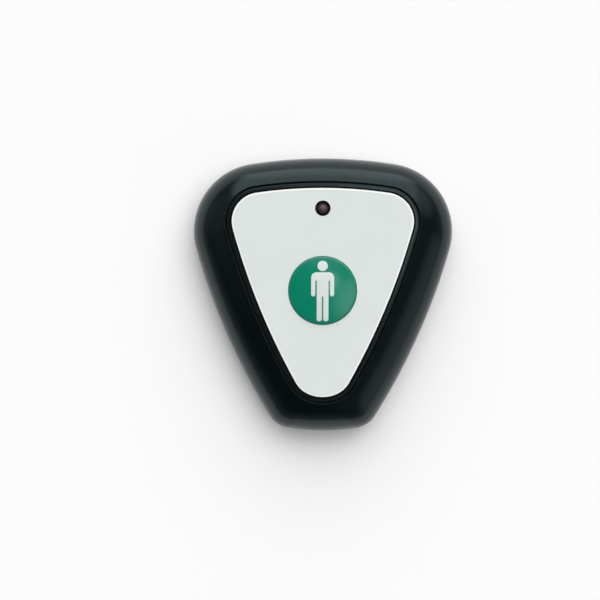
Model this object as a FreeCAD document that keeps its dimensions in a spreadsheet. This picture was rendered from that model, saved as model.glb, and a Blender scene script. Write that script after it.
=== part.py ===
"""A hand-held wireless call button: a rounded-triangle housing lying on its back, face up.

Millimetres. +Z points out of the face, +Y towards the indicator lamp, and the origin is where the
button's axis meets the flat back. Every driving size is a cell of the sheet named Sizes.
"""

import FreeCAD, Part
import math
import os
import Sketcher

DOC = FreeCAD.newDocument("CallButton")

SIZES = {
    # Housing outline where it is widest: corner centres and the radii of its tangent arcs
    "outer_shoulder_x": 16.25,
    "outer_shoulder_y": 15.7,
    "outer_shoulder_radius": 17.9,
    "outer_side_radius": 172.0,
    "outer_crown_radius": 121.0,
    "outer_foot_x": 8.1,
    "outer_foot_y": -29.5,
    "outer_foot_radius": 6.9,
    "outer_base_radius": 60.0,
    # Face panel outline, with the same kinds of arcs
    "panel_shoulder_x": 16.05,
    "panel_shoulder_y": 17.8,
    "panel_shoulder_radius": 7.4,
    "panel_side_radius": 179.0,
    "panel_crown_radius": 118.0,
    "panel_foot_x": 0.8,
    "panel_foot_y": -20.35,
    "panel_foot_radius": 6.95,
    "panel_base_radius": 9.0,
    # Heights above the back
    "body_depth": 17.0,
    "widest_height": 7.0,
    "parting_height": 4.0,
    "boss_seat_height": 4.5,
    "board_height": 7.0,
    # Front shell
    "shell_wall": 2.4,
    "skirt_draft": 0.45,
    "shadow_gap": 0.3,
    "lip_width": 0.7,
    "lip_height": 0.7,
    "lip_round": 0.12,
    "lip_groove_width": 0.5,
    "lip_groove_depth": 0.6,
    "lip_groove_round": 0.22,
    "shoulder_round": 0.25,
    "panel_gap": 0.42,
    "front_wall": 1.6,
    "boss_root": 0.7,
    "cover_boss_inset": 8.6,
    "cover_boss_radius": 3.0,
    "cover_pilot_radius": 1.05,
    "cover_pilot_depth": 7.5,
    "board_boss_x": 14.5,
    "board_boss_setback": 4.9,
    "board_boss_tip_y": -19.4,
    "board_boss_radius": 2.4,
    "board_pilot_radius": 0.75,
    "board_pilot_depth": 4.6,
    # Rear cover
    "cover_floor": 2.0,
    "cover_edge_round": 1.8,
    "seal_groove_inset": 1.05,
    "seal_groove_width": 0.8,
    "seal_groove_depth": 0.8,
    "seal_fit": 0.05,
    "tongue_width": 1.1,
    "tongue_height": 1.8,
    "tongue_clearance": 0.1,
    "post_radius": 4.0,
    "screw_hole_radius": 1.45,
    "screw_sink_radius": 2.7,
    "screw_sink_depth": 2.3,
    "cradle_spacing": 18.0,
    "cradle_width": 1.4,
    "cradle_height": 3.0,
    "cradle_rim": 0.9,
    "cradle_fit": 0.1,
    "board_post_x": 17.0,
    "board_post_y": -3.0,
    "board_post_radius": 1.5,
    # Screws
    "screw_head_radius": 2.4,
    "screw_head_height": 1.7,
    "screw_length": 8.0,
    "small_head_radius": 1.8,
    "small_head_height": 1.2,
    "small_screw_length": 5.0,
    "screw_head_round": 0.4,
    "screw_fit": 0.02,
    "cross_width": 0.6,
    "cross_depth": 0.8,
    # Face panel, its adhesive and the lamp's window
    "panel_thickness": 1.5,
    "panel_bevel_width": 0.45,
    "panel_bevel_height": 0.08,
    "panel_recess": 0.1,
    "tape_thickness": 0.2,
    "tape_margin": 0.5,
    "lamp_setback": 2.1,
    "lamp_window_radius": 2.0,
    # Call button
    "button_radius": 8.8,
    "button_gap": 0.1,
    "button_rise": 1.0,
    "button_dome_radius": 70.0,
    "button_edge_round": 0.5,
    "button_top_wall": 1.6,
    "button_side_wall": 1.2,
    "button_flange_width": 1.1,
    "button_flange_height": 0.8,
    "button_seal_thickness": 0.5,
    "button_boss_radius": 2.6,
    "button_boss_gap": 0.02,
    # Circuit board
    "board_thickness": 1.2,
    "board_inset": 6.0,
    "board_bottom_y": -24.6,
    "board_corner_round": 2.0,
    "board_boss_clearance": 0.6,
    "board_slot_end": 0.1,
    "board_screw_hole_radius": 1.1,
    "pin_hole_radius": 0.55,
    # Push switch
    "switch_side": 12.0,
    "switch_corner": 0.8,
    "switch_base_height": 2.9,
    "switch_floor": 0.8,
    "switch_well_radius": 4.5,
    "switch_cover_thickness": 0.4,
    "switch_cover_tab": 1.2,
    "switch_cover_tab_width": 5.0,
    "plunger_radius": 3.4,
    "plunger_flange_radius": 4.2,
    "plunger_flange_height": 0.6,
    "plunger_gap": 0.1,
    "plunger_height": 4.3,
    "plunger_nub_radius": 1.0,
    "snap_radius": 4.2,
    "snap_rise": 0.75,
    "snap_thickness": 0.15,
    "snap_gap": 0.02,
    "pin_pitch": 5.0,
    "pin_width": 0.8,
    "pin_thickness": 0.3,
    "pin_rise": 1.0,
    "pin_tail": 1.4,
    # Indicator lamp
    "lamp_radius": 1.5,
    "lamp_flange_radius": 1.85,
    "lamp_flange_height": 1.0,
    "lamp_length": 5.3,
    "lamp_sink": 0.2,
    "lamp_lead_pitch": 2.0,
    "lamp_lead_width": 0.5,
    "lamp_lead_fit": 0.05,
    "lamp_lead_tail": 1.0,
    # Battery and its contacts
    "battery_radius": 5.15,
    "battery_length": 28.5,
    "battery_nub_radius": 2.4,
    "battery_nub_length": 1.3,
    "battery_edge_round": 0.5,
    "battery_offset": 3.45,
    "battery_floor_gap": 0.6,
    "battery_slot_margin": 0.45,
    "contact_thickness": 0.4,
    "contact_width": 7.0,
    "contact_reach": 4.0,
    "contact_ear": 1.6,
    "contact_foot": 3.2,
    "leaf_reach": 2.6,
    "leaf_half_height": 3.4,
    "leaf_thickness": 0.3,
    "leaf_width": 4.0,
    # Radio parts on the board
    "chip_x": -13.2,
    "chip_y": -5.5,
    "chip_length": 4.9,
    "chip_width": 3.9,
    "chip_height": 1.5,
    "chip_standoff": 0.15,
    "leg_pitch": 1.27,
    "leg_width": 0.42,
    "leg_reach": 1.05,
    "leg_foot": 0.5,
    "leg_thickness": 0.2,
    "leg_height": 0.8,
    "resonator_x": 11.8,
    "resonator_y": -7.4,
    "resonator_radius": 4.1,
    "resonator_rim_radius": 4.5,
    "resonator_rim_height": 0.5,
    "resonator_height": 3.3,
    "resonator_round": 0.6,
    "transistor_x": 8.2,
    "transistor_y": -15.2,
    "transistor_length": 2.9,
    "transistor_width": 1.4,
    "transistor_height": 1.1,
    "small_part_length": 2.0,
    "small_part_width": 1.25,
    "small_part_height": 0.6,
    "small_part_pitch": 2.7,
    "small_part_y": -10.6,
    "resistor_x": -9.6,
    "capacitor_x": 1.2,
    "trace_top_x": 22.5,
    "trace_top_y": 3.0,
    "trace_bottom_x": 11.0,
    "trace_bottom_y": -23.4,
    "trace_width": 1.0,
    "trace_thickness": 0.1,
}

SHEET = DOC.addObject("Spreadsheet::Sheet", "Sizes")
for row, (size_name, size_value) in enumerate(SIZES.items(), start=1):
    SHEET.set(f"A{row}", size_name)
    SHEET.set(f"B{row}", str(size_value))
    SHEET.setAlias(f"B{row}", size_name)
DOC.recompute()


class Amount:
    """A size worked out from the sheet: its number now, and the same sum as the sheet reads it."""

    def __init__(self, value, text):
        self.value = value
        self.text = text

    def __add__(self, other):
        other = amount(other)
        return Amount(self.value + other.value, f"({self.text} + {other.text})")

    def __sub__(self, other):
        other = amount(other)
        return Amount(self.value - other.value, f"({self.text} - {other.text})")

    def __mul__(self, other):
        other = amount(other)
        return Amount(self.value * other.value, f"({self.text} * {other.text})")

    def __truediv__(self, other):
        other = amount(other)
        return Amount(self.value / other.value, f"({self.text} / {other.text})")

    def __neg__(self):
        return Amount(-self.value, f"(0 - {self.text})")

    def root(self):
        """Its square root."""
        return Amount(math.sqrt(self.value), f"sqrt({self.text})")


def amount(thing):
    """The thing itself if it is an amount, or a plain number made one."""
    if isinstance(thing, Amount):
        return thing
    return Amount(float(thing), f"{float(thing):.6f}")


def size(name):
    """A cell of the sheet."""
    return Amount(float(SHEET.get(name)), f"Sizes.{name}")


ZERO = amount(0)
SIGNS = (1, -1)

# Heights that several pieces share
LIP_TOP = size("body_depth")
PLATEAU = LIP_TOP - size("lip_height")
PANEL_TOP = LIP_TOP - size("panel_recess")
PANEL_BOTTOM = PANEL_TOP - size("panel_thickness")
RECESS_FLOOR = PANEL_BOTTOM - size("tape_thickness")
CEILING = RECESS_FLOOR - size("front_wall")
BOSS_TOP = CEILING + size("boss_root")
BOARD_TOP = size("board_height") + size("board_thickness")
SWITCH_TOP = BOARD_TOP + size("switch_base_height")
PLUNGER_TOP = BOARD_TOP + size("plunger_height")
BATTERY_Z = size("cover_floor") + size("battery_floor_gap") + size("battery_radius")
LAMP_TOP = PANEL_TOP - size("lamp_sink")
LAMP_BOTTOM = LAMP_TOP - size("lamp_length")

# Places that several pieces share
OPENING = size("button_radius") + size("button_gap")
FLANGE = OPENING + size("button_flange_width")
BATTERY_Y = FLANGE + size("battery_offset")
BATTERY_END = size("battery_length") / 2
SLOT_HALF = size("battery_radius") + size("battery_slot_margin")
SLOT_TOP = BATTERY_Y + SLOT_HALF
POSITIVE_BACK = BATTERY_END + size("contact_thickness")
NEGATIVE_BACK = -(POSITIVE_BACK + size("leaf_reach"))
LAMP_Y = SLOT_TOP + size("lamp_setback")


class Outline:
    """A rounded triangle of eight tangent arcs, symmetric about Y, which can be inset or blended."""

    RADII = ("shoulder_radius", "side_radius", "crown_radius", "foot_radius", "base_radius")
    CENTRES = ("shoulder_x", "shoulder_y", "foot_x", "foot_y")

    def __init__(self, parts):
        self.parts = parts

    @classmethod
    def named(cls, prefix):
        """The outline whose sizes carry this prefix in the sheet."""
        return cls({key: size(f"{prefix}_{key}") for key in cls.RADII + cls.CENTRES})

    def inset(self, distance):
        """The parallel outline further in, or further out where the distance is negative."""
        return Outline({
            key: part - distance if key in self.RADII else part
            for key, part in self.parts.items()
        })

    def blend(self, other, share):
        """The outline that lies the given share of the way to another."""
        return Outline({
            key: part * (1 - share) + other.parts[key] * share
            for key, part in self.parts.items()
        })


OUTER = Outline.named("outer")
PANEL = Outline.named("panel")
SKIRT = OUTER.inset(size("skirt_draft"))
INNER = OUTER.inset(size("shell_wall"))
RECESS = PANEL.inset(-size("panel_gap"))
LIP = RECESS.inset(-size("lip_width"))
SHOULDER = LIP.inset(-size("lip_groove_width"))

COVER_BOSS_X = size("outer_shoulder_x") + size("outer_shoulder_radius") - size("cover_boss_inset")
COVER_SCREWS = [
    (COVER_BOSS_X, size("outer_shoulder_y")),
    (-COVER_BOSS_X, size("outer_shoulder_y")),
    (ZERO, size("outer_foot_y")),
]
BOARD_SCREWS = [
    (size("board_boss_x"), SLOT_TOP + size("board_boss_setback")),
    (-size("board_boss_x"), SLOT_TOP + size("board_boss_setback")),
    (ZERO, size("board_boss_tip_y")),
]
BOARD_POSTS = [(size("board_post_x") * side, size("board_post_y")) for side in SIGNS]
PIN_X = size("switch_side") / 2 + size("pin_thickness") / 2
SWITCH_PINS = [
    (PIN_X * side, size("pin_pitch") / 2 * row) for side in SIGNS for row in SIGNS
]
LAMP_LEADS = [(size("lamp_lead_pitch") / 2 * side, ZERO) for side in SIGNS]


def new_body(label, x=ZERO, y=ZERO):
    """An empty body that becomes one sub-part, placed where its own origin lies."""
    body = DOC.addObject("PartDesign::Body", label)
    body.Label = label
    body.AllowCompound = True
    body.Placement = FreeCAD.Placement(FreeCAD.Vector(x.value, y.value, 0), FreeCAD.Rotation())
    body.setExpression("Placement.Base.x", x.text)
    body.setExpression("Placement.Base.y", y.text)
    return body


def origin_feature(body, role):
    """One of the body's own planes or axes."""
    return next(item for item in body.Origin.OriginFeatures if item.Role == role)


def new_sketch(body, label, height, plane):
    """A sketch on one of the body's own planes, set off along that plane's normal."""
    sketch = body.newObject("Sketcher::SketchObject", label)
    sketch.AttachmentSupport = [(origin_feature(body, plane), "")]
    sketch.MapMode = "FlatFace"
    offset = FreeCAD.Vector(0, 0, height.value)
    sketch.AttachmentOffset = FreeCAD.Placement(offset, FreeCAD.Rotation())
    sketch.setExpression("AttachmentOffset.Base.z", height.text)
    return sketch


def bind(sketch, kind, *places, to):
    """Adds a dimension to a sketch and ties it to the sheet."""
    index = sketch.addConstraint(Sketcher.Constraint(kind, *places, to.value))
    sketch.setExpression(f"Constraints[{index}]", to.text)


def fix_point(sketch, geometry, point, x, y):
    """Ties a point's place to the sheet, measured from the origin."""
    bind(sketch, "DistanceX", -1, 1, geometry, point, to=x)
    bind(sketch, "DistanceY", -1, 1, geometry, point, to=y)


def arc_between(centre, radius, start, end):
    """The anticlockwise arc between two points, given as a centre and a radius."""
    angles = [math.atan2(p[1] - centre[1], p[0] - centre[0]) for p in (start, end)]
    if angles[1] <= angles[0]:
        angles[1] += 2 * math.pi
    circle = Part.Circle(FreeCAD.Vector(*centre, 0), FreeCAD.Vector(0, 0, 1), radius)
    return Part.ArcOfCircle(circle, *angles)


def circles(places, radius):
    """A drawing of one circle at each place."""

    def draw(sketch):
        for x, y in places:
            middle = FreeCAD.Vector(x.value, y.value, 0)
            circle = Part.Circle(middle, FreeCAD.Vector(0, 0, 1), radius.value)
            index = sketch.addGeometry(circle)
            bind(sketch, "Radius", index, to=radius)
            fix_point(sketch, index, 3, x, y)

    return draw


def outlines(*chosen):
    """A drawing of one outline, or of the ring between two."""

    def draw(sketch):
        for outline in chosen:
            draw_outline(sketch, outline)

    return draw


def draw_outline(sketch, outline):
    """Draws an outline's eight arcs anticlockwise from the base, all tangent to each other."""
    parts = outline.parts
    value = {key: part.value for key, part in parts.items()}
    shoulder = (value["shoulder_x"], value["shoulder_y"])
    foot = (value["foot_x"], value["foot_y"])

    def mirrored(point):
        return (-point[0], point[1])

    def touch(big, big_radius, small):
        """Where an arc round one centre meets the arc inside it round another."""
        apart = math.dist(big, small)
        return tuple(big[i] + (small[i] - big[i]) * big_radius / apart for i in (0, 1))

    to_shoulder = value["side_radius"] - value["shoulder_radius"]
    to_foot = value["side_radius"] - value["foot_radius"]
    apart = math.dist(shoulder, foot)
    along = (to_shoulder**2 - to_foot**2 + apart**2) / (2 * apart)
    away = math.sqrt(to_shoulder**2 - along**2)
    unit = [(foot[i] - shoulder[i]) / apart for i in (0, 1)]
    side = (
        shoulder[0] + along * unit[0] + away * unit[1],
        shoulder[1] + along * unit[1] - away * unit[0],
    )
    crown_reach = value["crown_radius"] - value["shoulder_radius"]
    base_reach = value["base_radius"] - value["foot_radius"]
    crown = (0.0, shoulder[1] - math.sqrt(crown_reach**2 - shoulder[0] ** 2))
    base = (0.0, foot[1] + math.sqrt(base_reach**2 - foot[0] ** 2))
    base_end = touch(base, value["base_radius"], foot)
    side_start = touch(side, value["side_radius"], foot)
    side_end = touch(side, value["side_radius"], shoulder)
    crown_start = touch(crown, value["crown_radius"], shoulder)
    arcs = [
        (base, value["base_radius"], mirrored(base_end), base_end),
        (foot, value["foot_radius"], base_end, side_start),
        (side, value["side_radius"], side_start, side_end),
        (shoulder, value["shoulder_radius"], side_end, crown_start),
        (crown, value["crown_radius"], crown_start, mirrored(crown_start)),
        (mirrored(shoulder), value["shoulder_radius"], mirrored(crown_start), mirrored(side_end)),
        (mirrored(side), value["side_radius"], mirrored(side_end), mirrored(side_start)),
        (mirrored(foot), value["foot_radius"], mirrored(side_start), mirrored(base_end)),
    ]
    drawn = [sketch.addGeometry(arc_between(*arc)) for arc in arcs]
    base_arc, foot_arc, side_arc, shoulder_arc, crown_arc = drawn[:5]
    left_shoulder_arc, left_side_arc, left_foot_arc = drawn[5:]
    for this, following in zip(drawn, drawn[1:] + drawn[:1]):
        sketch.addConstraint(Sketcher.Constraint("Tangent", this, 2, following, 1))
    for arc in (base_arc, crown_arc):
        sketch.addConstraint(Sketcher.Constraint("PointOnObject", arc, 3, -2))
    sketch.addConstraint(Sketcher.Constraint("Symmetric", side_arc, 3, left_side_arc, 3, -2))
    for right, left in (
        (side_arc, left_side_arc),
        (shoulder_arc, left_shoulder_arc),
        (foot_arc, left_foot_arc),
    ):
        sketch.addConstraint(Sketcher.Constraint("Equal", right, left))
    bind(sketch, "Radius", base_arc, to=parts["base_radius"])
    bind(sketch, "Radius", foot_arc, to=parts["foot_radius"])
    bind(sketch, "Radius", side_arc, to=parts["side_radius"])
    bind(sketch, "Radius", shoulder_arc, to=parts["shoulder_radius"])
    bind(sketch, "Radius", crown_arc, to=parts["crown_radius"])
    fix_point(sketch, shoulder_arc, 3, parts["shoulder_x"], parts["shoulder_y"])
    fix_point(sketch, foot_arc, 3, parts["foot_x"], parts["foot_y"])


def paths(*chosen):
    """A drawing of closed runs of lines and arcs.

    A step is (x, y) for a corner reached by a line, or (x, y, centre x, centre y, turn) for one
    reached by an arc, with a turn of 1 for anticlockwise and -1 for clockwise.
    """

    def draw(sketch):
        for steps in chosen:
            draw_path(sketch, [[amount(item) for item in step] for step in steps])

    return draw


def draw_path(sketch, steps):
    """Draws one closed run, each corner and each arc's centre tied to the sheet."""
    links = []
    for index, step in enumerate(steps):
        before = tuple(item.value for item in steps[index - 1][:2])
        here = tuple(item.value for item in step[:2])
        if len(step) == 2:
            line = Part.LineSegment(FreeCAD.Vector(*before, 0), FreeCAD.Vector(*here, 0))
            links.append((sketch.addGeometry(line), 1, 2))
            continue
        centre = (step[2].value, step[3].value)
        radius = math.dist(centre, before)
        if step[4].value > 0:
            links.append((sketch.addGeometry(arc_between(centre, radius, before, here)), 1, 2))
        else:
            links.append((sketch.addGeometry(arc_between(centre, radius, here, before)), 2, 1))
        if abs(here[0] - before[0]) > abs(here[1] - before[1]):
            bind(sketch, "DistanceY", -1, 1, links[-1][0], 3, to=step[3])
        else:
            bind(sketch, "DistanceX", -1, 1, links[-1][0], 3, to=step[2])
    for (item, _, end), (following, start, _), step in zip(links, links[1:] + links[:1], steps):
        sketch.addConstraint(Sketcher.Constraint("Coincident", item, end, following, start))
        fix_point(sketch, item, end, step[0], step[1])


def box(x, y, width, height):
    """The steps of a rectangle about its middle."""
    x, y, width, height = (amount(item) for item in (x, y, width, height))
    left, right = x - width / 2, x + width / 2
    low, high = y - height / 2, y + height / 2
    return [(left, low), (right, low), (right, high), (left, high)]


def boxes(places, width, height):
    """A drawing of one like rectangle at each place."""
    return paths(*(box(x, y, width, height) for x, y in places))


def add_feature(body, kind, label, sketch):
    """A feature that works from a sketch."""
    feature = body.newObject(f"PartDesign::{kind}", label)
    feature.Profile = sketch
    sketch.Visibility = False
    return feature


def extrude(body, kind, label, place, length, draw, plane, midplane):
    """A pad or a pocket of a drawn profile."""
    sketch = new_sketch(body, label + "_profile", place, plane)
    draw(sketch)
    feature = add_feature(body, kind, label, sketch)
    feature.Length = length.value
    feature.setExpression("Length", length.text)
    feature.Midplane = midplane
    return feature


def pad(body, label, bottom, height, draw, plane="XY_Plane", midplane=False):
    """Adds the material that a drawn profile sweeps up from its plane."""
    return extrude(body, "Pad", label, bottom, height, draw, plane, midplane)


def pocket(body, label, top, depth, draw):
    """Cuts a drawn profile straight down from a height."""
    return extrude(body, "Pocket", label, top, depth, draw, "XY_Plane", False)


def turn(body, label, steps):
    """Turns a half profile, given as radius and height, about the body's own Z axis."""
    sketch = new_sketch(body, label + "_profile", ZERO, "XZ_Plane")
    paths(steps)(sketch)
    feature = add_feature(body, "Revolution", label, sketch)
    feature.ReferenceAxis = (sketch, ["V_Axis"])
    feature.Angle = 360
    return feature


def loft(body, kind, label, sections):
    """A smooth skin through outlines, each given with its height."""
    sketches = []
    for number, (outline, height) in enumerate(sections):
        sketch = new_sketch(body, f"{label}_section_{number}", height, "XY_Plane")
        draw_outline(sketch, outline)
        sketches.append(sketch)
    feature = add_feature(body, kind, label, sketches[0])
    feature.Sections = sketches[1:]
    feature.Ruled = False
    return feature


def dress(body, kind, label, measure, chosen):
    """Rounds (Fillet) or bevels (Chamfer) the edges that a test picks."""
    DOC.recompute()
    base = body.Tip
    edges = [
        f"Edge{number}"
        for number, edge in enumerate(base.Shape.Edges, start=1)
        if chosen(edge)
    ]
    feature = body.newObject(f"PartDesign::{kind}", label)
    feature.Base = (base, edges)
    key = "Radius" if kind == "Fillet" else "Size"
    setattr(feature, key, measure.value)
    feature.setExpression(key, measure.text)
    return feature


def near(first, second):
    """True if two lengths are the same but for rounding."""
    return math.isclose(first, second, abs_tol=1e-4)


def level(height):
    """A test for edges that lie at one height."""

    def chosen(edge):
        return near(edge.BoundBox.ZMin, height.value) and near(edge.BoundBox.ZMax, height.value)

    return chosen


def ring(radius):
    """A test for the circular edges of one radius."""

    def chosen(edge):
        if edge.Degenerated or not isinstance(edge.Curve, Part.Circle):
            return False
        return near(edge.Curve.Radius, radius.value)

    return chosen


FLANK_ANGLES = (0, 17, 34, 51, 68)


def flank(wall, top):
    """Outlines up the rounded flank, which still slopes where it reaches the shoulder."""
    last = math.radians(FLANK_ANGLES[-1])
    sections = []
    for angle in FLANK_ANGLES:
        sine, cosine = math.sin(math.radians(angle)), math.cos(math.radians(angle))
        share = (1 - cosine) / (1 - math.cos(last))
        outline = OUTER.blend(SHOULDER, share).inset(wall * cosine)
        rise = (top - size("widest_height")) * (sine / math.sin(last))
        sections.append((outline, size("widest_height") + rise))
    return sections


def build_front_shell():
    """The black upper housing, with its lip, panel recess, openings and screw bosses."""
    body = new_body("front_shell")
    parting = size("parting_height")
    gap = size("shadow_gap")
    pad(body, "parting_step", parting, gap, outlines(SKIRT.inset(gap)))
    loft(body, "AdditiveLoft", "flank", [(SKIRT, parting + gap)] + flank(ZERO, PLATEAU))
    pad(body, "lip", PLATEAU, size("lip_height"), outlines(LIP))
    dress(body, "Fillet", "lip_rounding", size("lip_round"), level(LIP_TOP))
    depth = size("lip_groove_depth")
    pocket(body, "lip_groove", PLATEAU, depth, outlines(SHOULDER, LIP))
    dress(body, "Fillet", "groove_floor", size("lip_groove_round"), level(PLATEAU - depth))
    dress(body, "Fillet", "shoulder_rounding", size("shoulder_round"), level(PLATEAU))
    pocket(body, "recess", LIP_TOP, LIP_TOP - RECESS_FLOOR, outlines(RECESS))
    inner = [(INNER, parting)] + flank(size("shell_wall"), CEILING)
    loft(body, "SubtractiveLoft", "cavity", inner)
    seat = size("boss_seat_height")
    cover_boss = circles(COVER_SCREWS, size("cover_boss_radius"))
    pad(body, "cover_bosses", seat, BOSS_TOP - seat, cover_boss)
    board_boss = circles(BOARD_SCREWS, size("board_boss_radius"))
    pad(body, "board_bosses", BOARD_TOP, BOSS_TOP - BOARD_TOP, board_boss)
    depth = size("cover_pilot_depth")
    cover_pilot = circles(COVER_SCREWS, size("cover_pilot_radius"))
    pocket(body, "cover_pilots", seat + depth, depth, cover_pilot)
    depth = size("board_pilot_depth")
    board_pilot = circles(BOARD_SCREWS, size("board_pilot_radius"))
    pocket(body, "board_pilots", BOARD_TOP + depth, depth, board_pilot)
    wall = size("front_wall")
    pocket(body, "button_opening", RECESS_FLOOR, wall, circles([(ZERO, ZERO)], OPENING))
    window = circles([(ZERO, LAMP_Y)], size("lamp_window_radius"))
    pocket(body, "lamp_opening", RECESS_FLOOR, wall, window)
    return body


def build_rear_cover():
    """The black tray that closes the back, with its tongue, seal groove, posts and cradle."""
    body = new_body("rear_cover")
    parting = size("parting_height")
    floor = size("cover_floor")
    pad(body, "tray", ZERO, parting, outlines(SKIRT))
    dress(body, "Fillet", "back_rounding", size("cover_edge_round"), level(ZERO))
    tongue = INNER.inset(size("tongue_clearance"))
    pad(body, "tongue", parting, size("tongue_height"), outlines(tongue))
    top = parting + size("tongue_height")
    pocket(body, "hollow", top, top - floor, outlines(tongue.inset(size("tongue_width"))))
    groove = OUTER.inset(size("seal_groove_inset"))
    groove_ring = outlines(groove, groove.inset(size("seal_groove_width")))
    pocket(body, "seal_groove", parting, size("seal_groove_depth"), groove_ring)
    seat = size("boss_seat_height")
    pad(body, "screw_posts", floor, seat - floor, circles(COVER_SCREWS, size("post_radius")))
    pocket(body, "screw_holes", seat, seat, circles(COVER_SCREWS, size("screw_hole_radius")))
    sink = size("screw_sink_depth")
    pocket(body, "screw_sinks", sink, sink, circles(COVER_SCREWS, size("screw_sink_radius")))
    posts = circles(BOARD_POSTS, size("board_post_radius"))
    pad(body, "board_posts", floor, size("board_height") - floor, posts)
    for side, name in zip(SIGNS, ("cradle_right", "cradle_left")):
        place = size("cradle_spacing") / 2 * side
        pad(body, name, place, size("cradle_width"), cradle_profile(floor), "YZ_Plane", True)
    return body


def cradle_profile(floor):
    """A saddle rib that the battery lies in, seen along the battery."""
    radius = size("battery_radius") + size("cradle_fit")
    top = floor + size("cradle_height")
    drop = BATTERY_Z - top
    chord = (radius * radius - drop * drop).root()
    half = chord + size("cradle_rim")
    return paths([
        (BATTERY_Y - half, floor),
        (BATTERY_Y + half, floor),
        (BATTERY_Y + half, top),
        (BATTERY_Y + chord, top),
        (BATTERY_Y - chord, top, BATTERY_Y, BATTERY_Z, -1),
        (BATTERY_Y - half, top),
    ])


def build_cover_seal():
    """The soft ring that fills the groove of the rear cover."""
    body = new_body("cover_seal")
    outer = OUTER.inset(size("seal_groove_inset") + size("seal_fit"))
    inner = outer.inset(size("seal_groove_width") - size("seal_fit") * 2)
    depth = size("seal_groove_depth")
    pad(body, "seal_ring", size("parting_height") - depth, depth, outlines(outer, inner))
    return body


def build_screws(label, places, seat, head, head_height, shank, length):
    """Cross-head screws driven upwards, the undersides of their heads at one height."""
    body = new_body(label)
    bottom = seat - head_height
    pad(body, label + "_heads", bottom, head_height, circles(places, head))
    rounding = size("screw_head_round")
    dress(body, "Fillet", label + "_head_rounding", rounding, level(bottom))
    pad(body, label + "_shanks", seat, length, circles(places, shank))
    depth = size("cross_depth")
    for name, width, height in (
        ("_slot_across", head, size("cross_width")),
        ("_slot_along", size("cross_width"), head),
    ):
        pocket(body, label + name, bottom + depth, depth, boxes(places, width, height))
    return body


def build_cover_screws():
    """The three screws that hold the rear cover to the front shell."""
    return build_screws(
        "cover_screws", COVER_SCREWS, size("screw_sink_depth"), size("screw_head_radius"),
        size("screw_head_height"), size("cover_pilot_radius") - size("screw_fit"),
        size("screw_length"),
    )


def build_board_screws():
    """The three screws that hold the circuit board to the front shell."""
    return build_screws(
        "board_screws", BOARD_SCREWS, size("board_height"), size("small_head_radius"),
        size("small_head_height"), size("board_pilot_radius") - size("screw_fit"),
        size("small_screw_length"),
    )


def build_face_panel():
    """The white panel that fills the recess, with the shallow bevel round its top."""
    body = new_body("face_panel")
    thickness = size("panel_thickness")
    rim = PANEL_TOP - size("panel_bevel_height")
    pad(body, "panel_plate", PANEL_BOTTOM, rim - PANEL_BOTTOM, outlines(PANEL))
    face = PANEL.inset(size("panel_bevel_width"))
    loft(body, "AdditiveLoft", "panel_bevel", [(PANEL, rim), (face, PANEL_TOP)])
    pocket(body, "panel_opening", PANEL_TOP, thickness, circles([(ZERO, ZERO)], OPENING))
    window = circles([(ZERO, LAMP_Y)], size("lamp_window_radius"))
    pocket(body, "panel_window", PANEL_TOP, thickness, window)
    return body


def build_panel_tape():
    """The adhesive sheet between the panel and the front wall."""
    body = new_body("panel_tape")
    margin = size("tape_margin")
    thickness = size("tape_thickness")
    pad(body, "tape_sheet", RECESS_FLOOR, thickness, outlines(PANEL.inset(margin)))
    opening = circles([(ZERO, ZERO)], OPENING + margin)
    pocket(body, "tape_opening", PANEL_BOTTOM, thickness, opening)
    window = circles([(ZERO, LAMP_Y)], size("lamp_window_radius") + margin)
    pocket(body, "tape_window", PANEL_BOTTOM, thickness, window)
    return body


def build_call_button():
    """The domed green push button: a cup with a flange that stops it and a boss that presses."""
    body = new_body("call_button")
    radius = size("button_radius")
    dome = size("button_dome_radius")
    top = PANEL_TOP + size("button_rise")
    centre = top - dome
    shoulder = centre + (dome * dome - radius * radius).root()
    roof = shoulder - size("button_top_wall")
    flange_top = CEILING - size("button_seal_thickness")
    flange_bottom = flange_top - size("button_flange_height")
    boss = size("button_boss_radius")
    boss_bottom = PLUNGER_TOP + size("button_boss_gap")
    inside = radius - size("button_side_wall")
    turn(body, "button_form", [
        (ZERO, boss_bottom),
        (boss, boss_bottom),
        (boss, roof),
        (inside, roof),
        (inside, flange_bottom),
        (FLANGE, flange_bottom),
        (FLANGE, flange_top),
        (radius, flange_top),
        (radius, shoulder),
        (ZERO, top, ZERO, centre, 1),
    ])

    def rim(edge):
        return ring(radius)(edge) and level(shoulder)(edge)

    dress(body, "Fillet", "button_rounding", size("button_edge_round"), rim)
    return body


def build_button_seal():
    """The soft ring between the button's flange and the front wall."""
    body = new_body("button_seal")
    thickness = size("button_seal_thickness")
    pad(body, "soft_ring", CEILING - thickness, thickness, circles([(ZERO, ZERO)], FLANGE))
    pocket(body, "soft_ring_hole", CEILING, thickness, circles([(ZERO, ZERO)], OPENING))
    return body


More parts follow.
